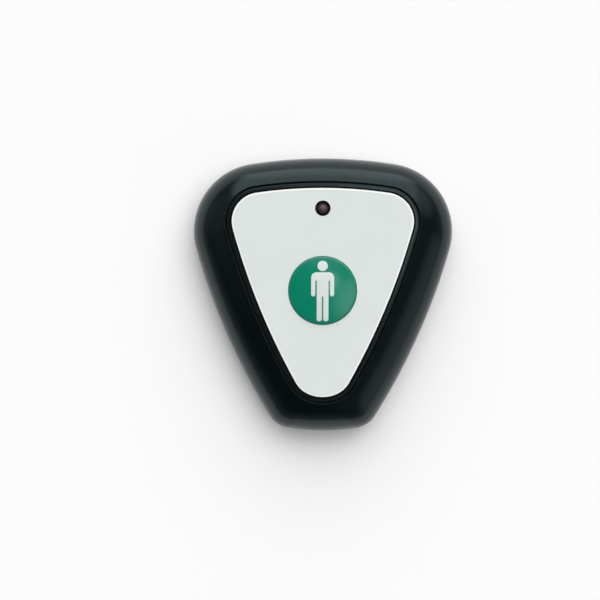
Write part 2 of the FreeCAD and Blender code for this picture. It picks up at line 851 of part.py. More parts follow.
def build_circuit_board():
    """The board, cut out for the battery and notched round the cover's bosses."""
    body = new_body("circuit_board")
    thickness = size("board_thickness")

    def cut(label, draw):
        pocket(body, label, BOARD_TOP, thickness, draw)

    plate = outlines(OUTER.inset(size("board_inset")))
    pad(body, "board_plate", size("board_height"), thickness, plate)
    bottom = size("board_bottom_y")
    beyond = size("outer_foot_radius")
    low = size("outer_foot_y") - beyond
    half = size("outer_foot_x") + beyond
    cut("board_end", paths([(-half, low), (half, low), (half, bottom), (-half, bottom)]))

    def end_corner(edge):
        upright = near(edge.BoundBox.ZLength, thickness.value)
        return upright and near(edge.BoundBox.YMin, bottom.value)

    dress(body, "Fillet", "board_corners", size("board_corner_round"), end_corner)
    left = NEGATIVE_BACK - size("board_slot_end")
    right = POSITIVE_BACK + size("board_slot_end")
    slot_bottom = BATTERY_Y - SLOT_HALF
    cut("battery_slot", paths([
        (left, slot_bottom),
        (right, slot_bottom),
        (right, SLOT_TOP),
        (left, SLOT_TOP),
    ]))
    notch = size("cover_boss_radius") + size("board_boss_clearance")
    cut("boss_notches", circles(COVER_SCREWS[:2], notch))
    cut("screw_clearances", circles(BOARD_SCREWS, size("board_screw_hole_radius")))
    cut("pin_holes", circles(SWITCH_PINS, size("pin_hole_radius")))
    leads = [(x, LAMP_Y) for x, _ in LAMP_LEADS]
    cut("lead_holes", circles(leads, size("pin_hole_radius")))
    return body


def build_switch_base():
    """The switch's square base with the round well that its snap dome lies in."""
    body = new_body("switch_base")
    height = size("switch_base_height")
    side = size("switch_side")
    pad(body, "base_block", BOARD_TOP, height, boxes([(ZERO, ZERO)], side, side))

    def upright(edge):
        return near(edge.BoundBox.ZLength, height.value)

    dress(body, "Chamfer", "base_corners", size("switch_corner"), upright)
    well = circles([(ZERO, ZERO)], size("switch_well_radius"))
    pocket(body, "base_well", SWITCH_TOP, height - size("switch_floor"), well)
    return body


def build_switch_cover():
    """The sheet-metal cover that keeps the plunger in, with a tab down two sides."""
    body = new_body("switch_cover")
    thickness = size("switch_cover_thickness")
    side = size("switch_side")
    tab = size("switch_cover_tab")
    tabs = [(ZERO, (side + thickness) / 2 * sign) for sign in SIGNS]
    tab_width = size("switch_cover_tab_width")
    pad(body, "cover_plate", SWITCH_TOP, thickness, boxes([(ZERO, ZERO)], side, side))
    bottom = SWITCH_TOP - tab
    pad(body, "cover_tabs", bottom, tab + thickness, boxes(tabs, tab_width, thickness))
    hole = circles([(ZERO, ZERO)], size("plunger_radius") + size("plunger_gap"))
    pocket(body, "cover_hole", SWITCH_TOP + thickness, thickness, hole)
    return body


def build_switch_dome():
    """The thin metal snap dome under the plunger."""
    body = new_body("switch_dome")
    radius = size("snap_radius")
    rise = size("snap_rise")
    thickness = size("snap_thickness")
    floor = BOARD_TOP + size("switch_floor")
    sphere = (radius * radius + rise * rise) / (rise * 2)
    centre = floor + rise - sphere
    turn(body, "dome_form", [
        (ZERO, floor + rise),
        (radius, floor, ZERO, centre, -1),
        (radius, floor + thickness),
        (ZERO, floor + rise + thickness, ZERO, centre + thickness, 1),
    ])
    return body


def build_switch_plunger():
    """The switch's plunger, with the flange that its cover keeps in and a nub on the dome."""
    body = new_body("switch_plunger")
    radius = size("plunger_radius")
    flange = size("plunger_flange_radius")
    nub = size("plunger_nub_radius")
    dome_top = BOARD_TOP + size("switch_floor") + size("snap_rise") + size("snap_thickness")
    bottom = dome_top + size("snap_gap")
    flange_top = SWITCH_TOP - size("plunger_gap")
    flange_bottom = flange_top - size("plunger_flange_height")
    turn(body, "plunger_form", [
        (ZERO, bottom),
        (nub, bottom),
        (nub, flange_bottom),
        (flange, flange_bottom),
        (flange, flange_top),
        (radius, flange_top),
        (radius, PLUNGER_TOP),
        (ZERO, PLUNGER_TOP),
    ])
    return body


def build_switch_pins():
    """The four flat pins beside the switch, down through the board."""
    body = new_body("switch_pins")
    bottom = size("board_height") - size("pin_tail")
    length = BOARD_TOP + size("pin_rise") - bottom
    pins = boxes(SWITCH_PINS, size("pin_thickness"), size("pin_width"))
    pad(body, "pins", bottom, length, pins)
    return body


def build_indicator_led():
    """The 3 mm lamp with its flange and round nose."""
    body = new_body("indicator_led", y=LAMP_Y)
    radius = size("lamp_radius")
    flange = size("lamp_flange_radius")
    flange_top = LAMP_BOTTOM + size("lamp_flange_height")
    nose = LAMP_TOP - radius
    turn(body, "led_form", [
        (ZERO, LAMP_BOTTOM),
        (flange, LAMP_BOTTOM),
        (flange, flange_top),
        (radius, flange_top),
        (radius, nose),
        (ZERO, LAMP_TOP, ZERO, nose, 1),
    ])
    return body


def build_led_spacer():
    """The stand that carries the lamp above the board, with a way for each lead."""
    body = new_body("led_spacer", y=LAMP_Y)
    height = LAMP_BOTTOM - BOARD_TOP
    stand = circles([(ZERO, ZERO)], size("lamp_flange_radius"))
    pad(body, "spacer_stand", BOARD_TOP, height, stand)
    hole = size("lamp_lead_width") + size("lamp_lead_fit") * 2
    pocket(body, "lead_ways", LAMP_BOTTOM, height, boxes(LAMP_LEADS, hole, hole))
    return body


def build_led_leads():
    """The lamp's two square leads, down through the board."""
    body = new_body("led_leads", y=LAMP_Y)
    width = size("lamp_lead_width")
    bottom = size("board_height") - size("lamp_lead_tail")
    pad(body, "leads", bottom, LAMP_BOTTOM - bottom, boxes(LAMP_LEADS, width, width))
    return body


def build_battery():
    """The small twelve-volt cell, its positive nub towards +X."""
    body = new_body("battery")
    nub = size("battery_nub_length")
    axis = [(BATTERY_Y, BATTERY_Z)]
    radius = size("battery_radius")
    can = circles(axis, radius)
    pad(body, "battery_can", -BATTERY_END, size("battery_length") - nub, can, "YZ_Plane")
    dress(body, "Fillet", "battery_rounding", size("battery_edge_round"), ring(radius))
    tip = circles(axis, size("battery_nub_radius"))
    pad(body, "battery_nub", BATTERY_END - nub, nub, tip, "YZ_Plane")
    return body


def contact_plate(body, label, back, side):
    """A contact's plate and the two feet that lead off it on the board, towards the given side."""
    thickness = size("contact_thickness")
    half = size("contact_width") / 2
    ear = half + size("contact_ear")
    ear_top = BOARD_TOP + size("contact_ear")
    low, high = BATTERY_Z - size("contact_reach"), BATTERY_Z + size("contact_reach")
    start = back - thickness if side > 0 else back
    pad(body, label + "_plate", start, thickness, paths([
        (BATTERY_Y - half, low),
        (BATTERY_Y + half, low),
        (BATTERY_Y + half, BOARD_TOP),
        (BATTERY_Y + ear, BOARD_TOP),
        (BATTERY_Y + ear, ear_top),
        (BATTERY_Y + half, ear_top),
        (BATTERY_Y + half, high),
        (BATTERY_Y - half, high),
        (BATTERY_Y - half, ear_top),
        (BATTERY_Y - ear, ear_top),
        (BATTERY_Y - ear, BOARD_TOP),
        (BATTERY_Y - half, BOARD_TOP),
    ]), "YZ_Plane")
    foot = size("contact_foot")
    middle = half + size("contact_ear") / 2
    places = [(back + foot / 2 * side, BATTERY_Y + middle * sign) for sign in SIGNS]
    feet = boxes(places, foot, size("contact_ear"))
    pad(body, label + "_feet", BOARD_TOP, thickness, feet)


def build_positive_contact():
    """The flat contact at the battery's nub."""
    body = new_body("positive_contact")
    contact_plate(body, "positive", POSITIVE_BACK, 1)
    return body


def build_negative_contact():
    """The contact at the battery's flat end, with a bowed leaf that presses on it."""
    body = new_body("negative_contact")
    contact_plate(body, "negative", NEGATIVE_BACK, -1)
    root = NEGATIVE_BACK + size("contact_thickness")
    reach = size("leaf_reach")
    half = size("leaf_half_height")
    outer = (half * half + reach * reach) / (reach * 2)
    inner = outer - size("leaf_thickness")
    centre = -BATTERY_END - outer
    set_back = root - centre
    inner_half = (inner * inner - set_back * set_back).root()
    pad(body, "leaf", -BATTERY_Y, size("leaf_width"), paths([
        (root, BATTERY_Z - half),
        (root, BATTERY_Z + half, centre, BATTERY_Z, 1),
        (root, BATTERY_Z + inner_half),
        (root, BATTERY_Z - inner_half, centre, BATTERY_Z, -1),
    ]), "XZ_Plane", True)
    return body


def build_encoder_chip():
    """The coding chip's moulded package."""
    body = new_body("encoder_chip", size("chip_x"), size("chip_y"))
    package = boxes([(ZERO, ZERO)], size("chip_length"), size("chip_width"))
    pad(body, "package", BOARD_TOP + size("chip_standoff"), size("chip_height"), package)
    return body


LEGS_PER_SIDE = 4


def build_encoder_legs():
    """The chip's eight bent legs, four on each side."""
    body = new_body("encoder_legs", size("chip_x"), size("chip_y"))
    root = size("chip_width") / 2
    reach = root + size("leg_reach")
    thickness = size("leg_thickness")
    bend = reach - size("leg_foot")
    top = BOARD_TOP + size("leg_height")
    row_half = size("leg_pitch") * (LEGS_PER_SIDE - 1) / 2
    for side, name in zip(SIGNS, ("upper_leg", "lower_leg")):
        leg = pad(body, name, -row_half, size("leg_width"), paths([
            (root * side, top - thickness),
            ((bend - thickness) * side, top - thickness),
            ((bend - thickness) * side, BOARD_TOP),
            (reach * side, BOARD_TOP),
            (reach * side, BOARD_TOP + thickness),
            (bend * side, BOARD_TOP + thickness),
            (bend * side, top),
            (root * side, top),
        ]), "YZ_Plane", True)
        row = body.newObject("PartDesign::LinearPattern", name + "_row")
        row.Originals = [leg]
        row.Direction = (origin_feature(body, "X_Axis"), [""])
        row.Length = (row_half * 2).value
        row.setExpression("Length", (row_half * 2).text)
        row.Occurrences = LEGS_PER_SIDE
        body.Tip = row
    return body


def build_saw_resonator():
    """The round metal can that sets the radio's frequency."""
    body = new_body("saw_resonator", size("resonator_x"), size("resonator_y"))
    middle = [(ZERO, ZERO)]
    height = size("resonator_height")
    pad(body, "can", BOARD_TOP, height, circles(middle, size("resonator_radius")))
    top = level(BOARD_TOP + height)
    dress(body, "Fillet", "can_rounding", size("resonator_round"), top)
    rim = circles(middle, size("resonator_rim_radius"))
    pad(body, "can_rim", BOARD_TOP, size("resonator_rim_height"), rim)
    return body


def build_radio_transistor():
    """The small three-legged transistor."""
    body = new_body("radio_transistor", size("transistor_x"), size("transistor_y"))
    length, width = size("transistor_length"), size("transistor_width")
    package = boxes([(ZERO, ZERO)], length, width)
    pad(body, "transistor_package", BOARD_TOP, size("transistor_height"), package)
    foot = size("leg_foot")
    across = length / 2 - size("leg_width")
    out = (width + foot) / 2
    places = [(across, -out), (-across, -out), (ZERO, out)]
    feet = boxes(places, size("leg_width"), foot)
    pad(body, "transistor_feet", BOARD_TOP, size("leg_thickness"), feet)
    return body


def build_small_parts(label, first_x, count):
    """A row of like chip parts that stand side by side on the board."""
    body = new_body(label)
    places = [(first_x + size("small_part_pitch") * n, size("small_part_y")) for n in range(count)]
    row = boxes(places, size("small_part_width"), size("small_part_length"))
    pad(body, label + "_row", BOARD_TOP, size("small_part_height"), row)
    return body


def build_antenna_trace():
    """The copper loop that runs round the lower half of the board."""
    body = new_body("antenna_trace")
    top_x, top_y = size("trace_top_x"), size("trace_top_y")
    low_x, low_y = size("trace_bottom_x"), size("trace_bottom_y")
    width = size("trace_width")
    slope = (top_x - low_x) / (top_y - low_y)
    inner_x = low_x - width + width * slope
    pad(body, "loop", BOARD_TOP, size("trace_thickness"), paths([
        (-top_x, top_y),
        (-low_x, low_y),
        (low_x, low_y),
        (top_x, top_y),
        (top_x - width, top_y),
        (inner_x, low_y + width),
        (-inner_x, low_y + width),
        (width - top_x, top_y),
    ]))
    return body


def check(pieces):
    """Stops if any object failed or any sub-part's shape is unusable."""
    for item in DOC.Objects:
        if "Invalid" in item.State or "Error" in item.State:
            raise RuntimeError(f"{item.Label} failed: {item.State}")
    for piece in pieces:
        shape = piece.Shape
        if shape.isNull() or not shape.isValid() or not shape.Solids:
            raise RuntimeError(f"{piece.Label} has no usable solid")


PIECES = [
    build_front_shell(),
    build_rear_cover(),
    build_cover_seal(),
    build_cover_screws(),
    build_face_panel(),
    build_panel_tape(),
    build_call_button(),
    build_button_seal(),
    build_circuit_board(),
    build_board_screws(),
    build_switch_base(),
    build_switch_cover(),
    build_switch_dome(),
    build_switch_plunger(),
    build_switch_pins(),
    build_indicator_led(),
    build_led_spacer(),
    build_led_leads(),
    build_battery(),
    build_positive_contact(),
    build_negative_contact(),
    build_encoder_chip(),
    build_encoder_legs(),
    build_saw_resonator(),
    build_radio_transistor(),
    build_small_parts("chip_resistors", size("resistor_x"), 4),
    build_small_parts("chip_capacitors", size("capacitor_x"), 3),
    build_antenna_trace(),
]
DOC.recompute()
check(PIECES)
os.makedirs("parts", exist_ok=True)
for piece in PIECES:
    piece.Shape.exportStep(f"parts/{piece.Label}.step")
    print(piece.Label, len(piece.Shape.Solids), "solids", round(piece.Shape.Volume, 1), "cubic mm")
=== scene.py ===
"""The looks of a hand-held wireless call button that lies on its back, face up.

Sizes in the classes are millimetres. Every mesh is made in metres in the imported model's own axes:
+Z points out of the face, +Y towards the lamp, and the origin is under the button's middle.
"""

import logging
import math
from abc import ABC, abstractmethod
from dataclasses import dataclass
from enum import Enum
from typing import Any

import bmesh
import bpy
from bmesh.types import BMEdge, BMesh, BMFace, BMVert
from bpy.types import Object
from mathutils import Matrix, Vector


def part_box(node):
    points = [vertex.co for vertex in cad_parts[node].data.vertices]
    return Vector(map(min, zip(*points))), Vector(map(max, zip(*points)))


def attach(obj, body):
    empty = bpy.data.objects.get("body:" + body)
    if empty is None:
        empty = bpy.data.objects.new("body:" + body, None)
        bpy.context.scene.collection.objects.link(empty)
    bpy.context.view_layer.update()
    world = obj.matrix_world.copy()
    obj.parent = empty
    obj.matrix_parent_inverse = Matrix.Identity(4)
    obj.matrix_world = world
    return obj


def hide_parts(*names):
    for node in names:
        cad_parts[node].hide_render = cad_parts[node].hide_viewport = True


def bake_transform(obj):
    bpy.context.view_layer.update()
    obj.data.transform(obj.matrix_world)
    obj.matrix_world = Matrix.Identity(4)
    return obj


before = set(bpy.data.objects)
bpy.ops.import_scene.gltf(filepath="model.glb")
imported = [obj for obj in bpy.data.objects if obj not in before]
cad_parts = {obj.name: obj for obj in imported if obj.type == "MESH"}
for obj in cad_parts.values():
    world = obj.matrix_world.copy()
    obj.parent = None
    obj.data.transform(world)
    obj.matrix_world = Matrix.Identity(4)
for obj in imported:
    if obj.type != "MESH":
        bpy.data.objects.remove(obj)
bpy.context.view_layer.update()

LOG = logging.getLogger("call_button")
MM = 0.001
# Corners this close, in metres, become one: WELD in turned and cut meshes, else JOIN.
WELD = 1e-7
JOIN = 1e-6
# Decimals of a metre by which solids are put in order.
PLACES = 5

Colour = tuple[float, float, float, float]
Point = tuple[float, float]
Span = tuple[float, float]
Axes = tuple[float, float, float]

CLOUDY: Span = (0.3, 0.7)
TOUCHED: Span = (0.42, 0.66)
DUSTY: Span = (0.76, 0.82)
STAINED: Span = (0.48, 0.72)
TURNS = [math.radians(angle) for angle in range(0, 91, 15)]
QUARTER: list[Point] = [(math.sin(turn), 1 - math.cos(turn)) for turn in TURNS]


def tint(red: int, green: int, blue: int) -> Colour:
    """A colour as the eye reads it, from 0 to 255, made linear.

    Args:
        red: The red share.
        green: The green share.
        blue: The blue share.

    Returns:
        The linear colour with full alpha.
    """
    shares = [part / 255 for part in (red, green, blue)]
    linear = [s / 12.92 if s <= 0.04045 else ((s + 0.055) / 1.055) ** 2.4 for s in shares]
    return (linear[0], linear[1], linear[2], 1.0)


def scaled(colour: Colour, share: float) -> Colour:
    """A colour made darker or lighter.

    Args:
        colour: The colour to start from.
        share: What each of its parts is multiplied by.

    Returns:
        The changed colour, no part of it above 1.
    """
    red, green, blue = (min(1.0, part * share) for part in colour[:3])
    return (red, green, blue, 1.0)


class Signal:
    """A shader socket on which sums can be written."""

    def __init__(self, graph: "Graph", socket: bpy.types.NodeSocket) -> None:
        """Keeps the socket and the graph that it belongs to."""
        self.graph = graph
        self.socket = socket

    def __add__(self, other: "Value") -> "Signal":
        """This value plus another."""
        return self.graph.math("ADD", self, other)

    def __radd__(self, other: "Value") -> "Signal":
        """Another value plus this one."""
        return self.graph.math("ADD", other, self)

    def __sub__(self, other: "Value") -> "Signal":
        """This value less another."""
        return self.graph.math("SUBTRACT", self, other)

    def __rsub__(self, other: "Value") -> "Signal":
        """Another value less this one."""
        return self.graph.math("SUBTRACT", other, self)

    def __mul__(self, other: "Value") -> "Signal":
        """This value times another."""
        return self.graph.math("MULTIPLY", self, other)

    def __rmul__(self, other: "Value") -> "Signal":
        """Another value times this one."""
        return self.graph.math("MULTIPLY", other, self)

    def between(self, low: float, high: float) -> "Signal":
        """A soft step on this value.

        Args:
            low: The value up to which the result is 0.
            high: The value from which the result is 1.

        Returns:
            A value that eases from 0 to 1.
        """
        settings = {"interpolation_type": "SMOOTHSTEP"}
        ends = {"Value": self, "From Min": low, "From Max": high}
        return self.graph.node("ShaderNodeMapRange", settings, ends)


Value = Signal | float


class Graph:
    """A node tree and the few ways in which this file adds to it."""

    def __init__(self, tree: bpy.types.NodeTree) -> None:
        """Empties the tree and keeps it."""
        self.tree = tree
        tree.nodes.clear()

    def node(
        self, kind: str, settings: dict[str, Any] | None = None,
        inputs: dict[str | int, Any] | None = None, output: str | int = 0,
    ) -> Signal:
        """Adds a node, sets it up, and then fills or links its inputs.

        Args:
            kind: The node's type.
            settings: Its own settings by name.
            inputs: Values or signals for its sockets, by name or place.
            output: The socket that the result reads.

        Returns:
            The chosen output.
        """
        made = self.tree.nodes.new(kind)
        for name, value in (settings or {}).items():
            setattr(made, name, value)
        for name, value in (inputs or {}).items():
            if isinstance(value, Signal):
                self.tree.links.new(value.socket, made.inputs[name])
            else:
                made.inputs[name].default_value = value
        return Signal(self, made.outputs[output])

    def end(self, kind: str, shader: Signal) -> None:
        """Links a shader to the tree's own output node."""
        self.tree.links.new(shader.socket, self.tree.nodes.new(kind).inputs["Surface"])

    def math(self, operation: str, *values: Value) -> Signal:
        """One Math node on some values."""
        return self.node("ShaderNodeMath", {"operation": operation}, dict(enumerate(values)))

    def vector(self, operation: str, *values: Any, output: int = 0) -> Signal:
        """One Vector Math node on some vectors."""
        settings = {"operation": operation}
        return self.node("ShaderNodeVectorMath", settings, dict(enumerate(values)), output)

    def mix(self, share: Value, low: Signal | Colour, high: Signal | Colour) -> Signal:
        """A colour between two others.

        Args:
            share: 0 for the first colour and 1 for the second.
            low: The first colour.
            high: The second colour.

        Returns:
            The mixed colour.
        """
        return self.node("ShaderNodeMix", {"data_type": "RGBA"}, {0: share, 6: low, 7: high}, 2)

    def place(self) -> Signal:
        """The point's place in the piece's own axes, in metres."""
        return self.node("ShaderNodeTexCoord", output="Object")

    def stretched(self, where: Signal, scale: Axes) -> Signal:
        """The place with each axis drawn out or pressed together."""
        return self.vector("MULTIPLY", where, scale)

    def axis(self, where: Signal, name: str) -> Signal:
        """One coordinate of a place, X, Y or Z, in metres."""
        return self.node("ShaderNodeSeparateXYZ", inputs={0: where}, output=name)

    def noise(self, where: Signal, size: float, detail: float = 2.0) -> Signal:
        """Soft cloudy noise.

        Args:
            where: The place to read it at.
            size: About how far apart its lumps are, in millimetres.
            detail: How many finer layers it has.

        Returns:
            A value that stays near 0.5.
        """
        settings = {"Vector": where, "Scale": 1 / (size * MM), "Detail": detail}
        return self.node("ShaderNodeTexNoise", inputs=settings)

    def bump(self, height: Signal, depth: float) -> Signal:
        """The normal of a surface with a little relief.

        Args:
            height: The relief, from 0 to 1.
            depth: How deep a full step of it is, in millimetres.

        Returns:
            The bent normal.
        """
        return self.node("ShaderNodeBump", inputs={"Distance": depth * MM, "Height": height})

    def principled(self, **sockets: Any) -> Signal:
        """A Principled shader, its sockets named with underscores for spaces."""
        named = {name.replace("_", " "): value for name, value in sockets.items()}
        return self.node("ShaderNodeBsdfPrincipled", inputs=named)


@dataclass(frozen=True)
class Finish(ABC):
    """A surface finish: one material, made once and shared by all that has it."""

    label: str

    @abstractmethod
    def shade(self, graph: Graph) -> Signal:
        """Builds the finish in an empty graph and gives back its shader."""

    def material(self) -> bpy.types.Material:
        """The finish as a material, made when it is first asked for.

        Returns:
            The material.
        """
        made = bpy.data.materials.get(self.label)
        if made is None:
            made = bpy.data.materials.new(self.label)
            made.use_nodes = True
            graph = Graph(made.node_tree)
            graph.end("ShaderNodeOutputMaterial", self.shade(graph))
        return made

    def coat(self, *pieces: Object) -> None:
        """Puts the finish on pieces, in every slot that they have.

        Args:
            pieces: The pieces.
        """
        for piece in pieces:
            if not piece.material_slots:
                piece.data.materials.append(None)
            for slot in piece.material_slots:
                slot.material = self.material()


@dataclass(frozen=True)
class Plastic(Finish):
    """A moulded or printed surface that clouds a little, is dulled by handling and gathers dust."""

    colour: Colour
    roughness: float
    grain: float = 0.14
    relief: float = 0.0012
    clouding: float = 0.06
    handling: float = 0.07
    dust: float = 0.05
    dust_colour: Colour = (0.42, 0.41, 0.38, 1.0)
    dust_dulling: float = 4.0
    gloss_tint: Colour = (1.0, 1.0, 1.0, 1.0)
    index: float = 1.5
    cloud_size: float = 7.0
    touch_size: float = 11.0
    mote_size: float = 0.5

    def base(self, graph: Graph, where: Signal) -> Signal:
        """The colour under the dust, lighter in some places than in others.

        Args:
            graph: The graph to build in.
            where: The place on the piece.

        Returns:
            The colour.
        """
        cloud = graph.noise(where, self.cloud_size, detail=3.0).between(*CLOUDY)
        darker, paler = (scaled(self.colour, 1 + way * self.clouding) for way in (-1, 1))
        return graph.mix(cloud, darker, paler)

    def sheen(self, graph: Graph, where: Signal) -> Value:
        """How rough the surface is before handling and dust."""
        return self.roughness

    def shade(self, graph: Graph) -> Signal:
        """Adds handling and dust to the base colour.

        Args:
            graph: The graph to build in.

        Returns:
            The shader.
        """
        where = graph.place()
        touched = graph.noise(where, self.touch_size, detail=4.0).between(*TOUCHED)
        motes = graph.noise(where, self.mote_size, detail=0.0).between(*DUSTY) * (1 - touched)
        grain = graph.noise(where, self.grain, detail=1.0)
        dulled = self.sheen(graph, where) + touched * self.handling
        return graph.principled(
            Base_Color=graph.mix(motes * self.dust, self.base(graph, where), self.dust_colour),
            Roughness=dulled + motes * (self.dust * self.dust_dulling),
            IOR=self.index,
            Specular_Tint=self.gloss_tint,
            Normal=graph.bump(grain, self.relief),
        )


@dataclass(frozen=True)
class ShellPlastic(Plastic):
    """The housing's plastic, polished outside and left dull on the floor of the panel's recess."""

    recess_floor: float = 15.2
    recess_roughness: float = 0.95
    recess_band: float = 0.002

    def sheen(self, graph: Graph, where: Signal) -> Signal:
        """How rough it is before handling and dust, the recess's floor being dull.

        Args:
            graph: The graph to build in.
            where: The place on the piece.

        Returns:
            The roughness.
        """
        away = graph.math("ABSOLUTE", graph.axis(where, "Z") - self.recess_floor * MM)
        on_floor = 1 - away.between(self.recess_band / 2 * MM, self.recess_band * MM)
        return self.roughness + on_floor * (self.recess_roughness - self.roughness)


@dataclass(frozen=True)
class EdgedPlastic(Plastic):
    """A plastic plate whose bevel has a painted highlight and whose wall below it has painted
    shade.
    """

    # Painted highlight: the bevel is given a paler colour than the face.
    bevel_highlight_colour: Colour = (0.9, 0.9, 0.9, 1.0)
    # Painted shade: the wall below the bevel, in the gap, is given a dark colour.
    wall_shade_colour: Colour = (0.01, 0.01, 0.01, 1.0)
    top: float = 16.9
    bevel: float = 0.08
    edge_depth: float = 0.008
    face_depth: float = 0.003
    wall_depth: float = 0.01
    wall_blend: float = 0.03

    def base(self, graph: Graph, where: Signal) -> Signal:
        """The face's colour, the bevel's painted highlight and the wall's painted shade.

        Args:
            graph: The graph to build in.
            where: The place on the piece.

        Returns:
            The colour.
        """
        height = graph.axis(where, "Z")
        face = height.between((self.top - self.edge_depth) * MM, (self.top - self.face_depth) * MM)
        foot = self.top - self.bevel
        over = height.between((foot - self.wall_blend) * MM, (foot - self.wall_depth) * MM)
        # Painted highlight: the bevel's paler colour.
        upper = graph.mix(face, self.bevel_highlight_colour, super().base(graph, where))
        # Painted shade: the wall's dark colour below the bevel.
        return graph.mix(over, self.wall_shade_colour, upper)


class Lay(Enum):
    """The way that the fine lines on a metal run, as how far each axis is drawn out."""

    ALONG_X = (0.06, 1.0, 1.0)
    ALONG_Y = (1.0, 0.06, 1.0)
    ALONG_Z = (1.0, 1.0, 0.06)
    EVEN = (1.0, 1.0, 1.0)


@dataclass(frozen=True)
class Metal(Finish):
    """A bare or plated metal with rolling lines, dull spots and a little tarnish."""

    colour: Colour
    tarnish: Colour
    roughness: float = 0.28
    lay: Lay = Lay.EVEN
    line: float = 0.1
    line_dulling: float = 0.12
    stain_size: float = 1.6
    stain_share: float = 0.6
    stain_dulling: float = 0.14
    relief: float = 0.0008

    def shade(self, graph: Graph) -> Signal:
        """Draws the rolling lines and the tarnish.

        Args:
            graph: The graph to build in.

        Returns:
            The shader.
        """
        where = graph.place()
        lines = graph.noise(graph.stretched(where, self.lay.value), self.line, detail=2.0)
        stain = graph.noise(where, self.stain_size, detail=4.0).between(*STAINED)
        return graph.principled(
            Base_Color=graph.mix(stain * self.stain_share, self.colour, self.tarnish),
            Metallic=1.0,
            Roughness=self.roughness + lines * self.line_dulling + stain * self.stain_dulling,
            Normal=graph.bump(lines, self.relief),
        )


@dataclass(frozen=True)
class TintedLens(Finish):
    """The lamp's smoky resin, a little denser in places."""

    colour: Colour
    roughness: float = 0.3
    dulling: float = 0.06
    index: float = 1.53
    clearness: float = 0.12
    dense_size: float = 0.9
    dense_share: float = 0.8
    skin_size: float = 0.25
    relief: float = 0.0015

    def shade(self, graph: Graph) -> Signal:
        """Makes the resin denser in places.

        Args:
            graph: The graph to build in.

        Returns:
            The shader.
        """
        where = graph.place()
        dense = graph.noise(where, self.dense_size).between(*CLOUDY)
        skin = graph.noise(where, self.skin_size)
        return graph.principled(
            Base_Color=graph.mix(dense, self.colour, scaled(self.colour, self.dense_share)),
            Roughness=self.roughness + skin * self.dulling,
            IOR=self.index,
            Transmission_Weight=self.clearness,
            Normal=graph.bump(skin, self.relief),
        )


@dataclass(frozen=True)
class SolderMask(Finish):
    """The board's lacquer over its copper: raised runs of track, and the glass weave between."""

    lacquer: Colour
    over_copper: Colour
    roughness: float = 0.32
    dulling: float = 0.14
    index: float = 1.5
    relief: float = 0.02
    track_pitch: float = 0.9
    track_edge: Span = (0.26, 0.3)
    track_relief: float = 0.7
    patch_size: float = 6.0
    patch_scatter: float = 0.7
    patch_turn: Span = (0.49, 0.51)
    patch_bare: Span = (0.72, 0.73)
    weave_size: float = 0.2
    weave_draw: Axes = (0.3, 1.0, 1.0)
    cloud_size: float = 4.0

    def tracks(self, graph: Graph, where: Signal) -> Signal:
        """Patches of parallel tracks, some along the board and some across it.

        Args:
            graph: The graph to build in.
            where: The place on the piece.

        Returns:
            1 on a track and 0 beside it.
        """
        flat = graph.stretched(where, (1.0, 1.0, 0.0))
        settings = {"distance": "CHEBYCHEV", "voronoi_dimensions": "2D"}
        scale = 1 / (self.patch_size * MM)
        inputs = {"Vector": flat, "Scale": scale, "Randomness": self.patch_scatter}
        patch = graph.node("ShaderNodeTexVoronoi", settings, inputs, "Color")
        across = graph.axis(patch, "X").between(*self.patch_turn)
        run = graph.axis(where, "X") * across + graph.axis(where, "Y") * (1 - across)
        wave = graph.math("PINGPONG", run * (1 / (self.track_pitch * MM)), 0.5)
        bare = graph.axis(patch, "Y").between(*self.patch_bare)
        return wave.between(*self.track_edge) * (1 - bare)

    def shade(self, graph: Graph) -> Signal:
        """Lays the lacquer over the tracks and the weave.

        Args:
            graph: The graph to build in.

        Returns:
            The shader.
        """
        where = graph.place()
        track = self.tracks(graph, where)
        drawn = graph.stretched(where, self.weave_draw)
        weave = graph.noise(drawn, self.weave_size, detail=1.0)
        height = track * self.track_relief + weave * (1 - self.track_relief)
        cloud = graph.noise(where, self.cloud_size, detail=3.0)
        return graph.principled(
            Base_Color=graph.mix(track, self.lacquer, self.over_copper),
            Roughness=self.roughness + cloud * self.dulling,
            IOR=self.index,
            Normal=graph.bump(height, self.relief),
        )


@dataclass(frozen=True)
class CellSleeve(Finish):
    """The battery's printed sleeve, with a bright band at the positive end and bare metal tips."""

    sleeve: Colour
    band: Colour
    tip: Colour
    band_from: float
    nub_from: float
    blend: float = 0.05
    nub_shine: float = 0.95
    wrinkle_size: float = 0.9
    wrinkle_draw: Axes = (0.15, 1.0, 1.0)
    roughness: float = 0.26
    dulling: float = 0.14
    index: float = 1.5
    relief: float = 0.02

    def shade(self, graph: Graph) -> Signal:
        """Prints the sleeve and its band, and bares the tips.

        Args:
            graph: The graph to build in.

        Returns:
            The shader.
        """
        where = graph.place()
        along = graph.axis(where, "X")
        in_band, bare = (
            along.between(start * MM, (start + self.blend) * MM)
            for start in (self.band_from, self.nub_from)
        )
        drawn = graph.stretched(where, self.wrinkle_draw)
        wrinkle = graph.noise(drawn, self.wrinkle_size, detail=3.0)
        printed = graph.mix(in_band, self.sleeve, self.band)
        return graph.principled(
            Base_Color=graph.mix(bare, printed, self.tip),
            Metallic=bare * self.nub_shine,
            Roughness=self.roughness + wrinkle * self.dulling,
            IOR=self.index,
            Normal=graph.bump(wrinkle, self.relief),
        )


@dataclass(frozen=True)
class PaleFloor(Finish):
    """The plain floor under the object."""

    colour: Colour
    roughness: float = 0.9
    cloud_size: float = 60.0
    cloud_share: float = 0.995

    def shade(self, graph: Graph) -> Signal:
        """Clouds the floor very slightly.

        Args:
            graph: The graph to build in.

        Returns:
            The shader.
        """
        cloud = graph.noise(graph.place(), self.cloud_size)
        return graph.principled(
            Base_Color=graph.mix(cloud, scaled(self.colour, self.cloud_share), self.colour),
            Roughness=self.roughness,
            Specular_IOR_Level=0.0,
        )


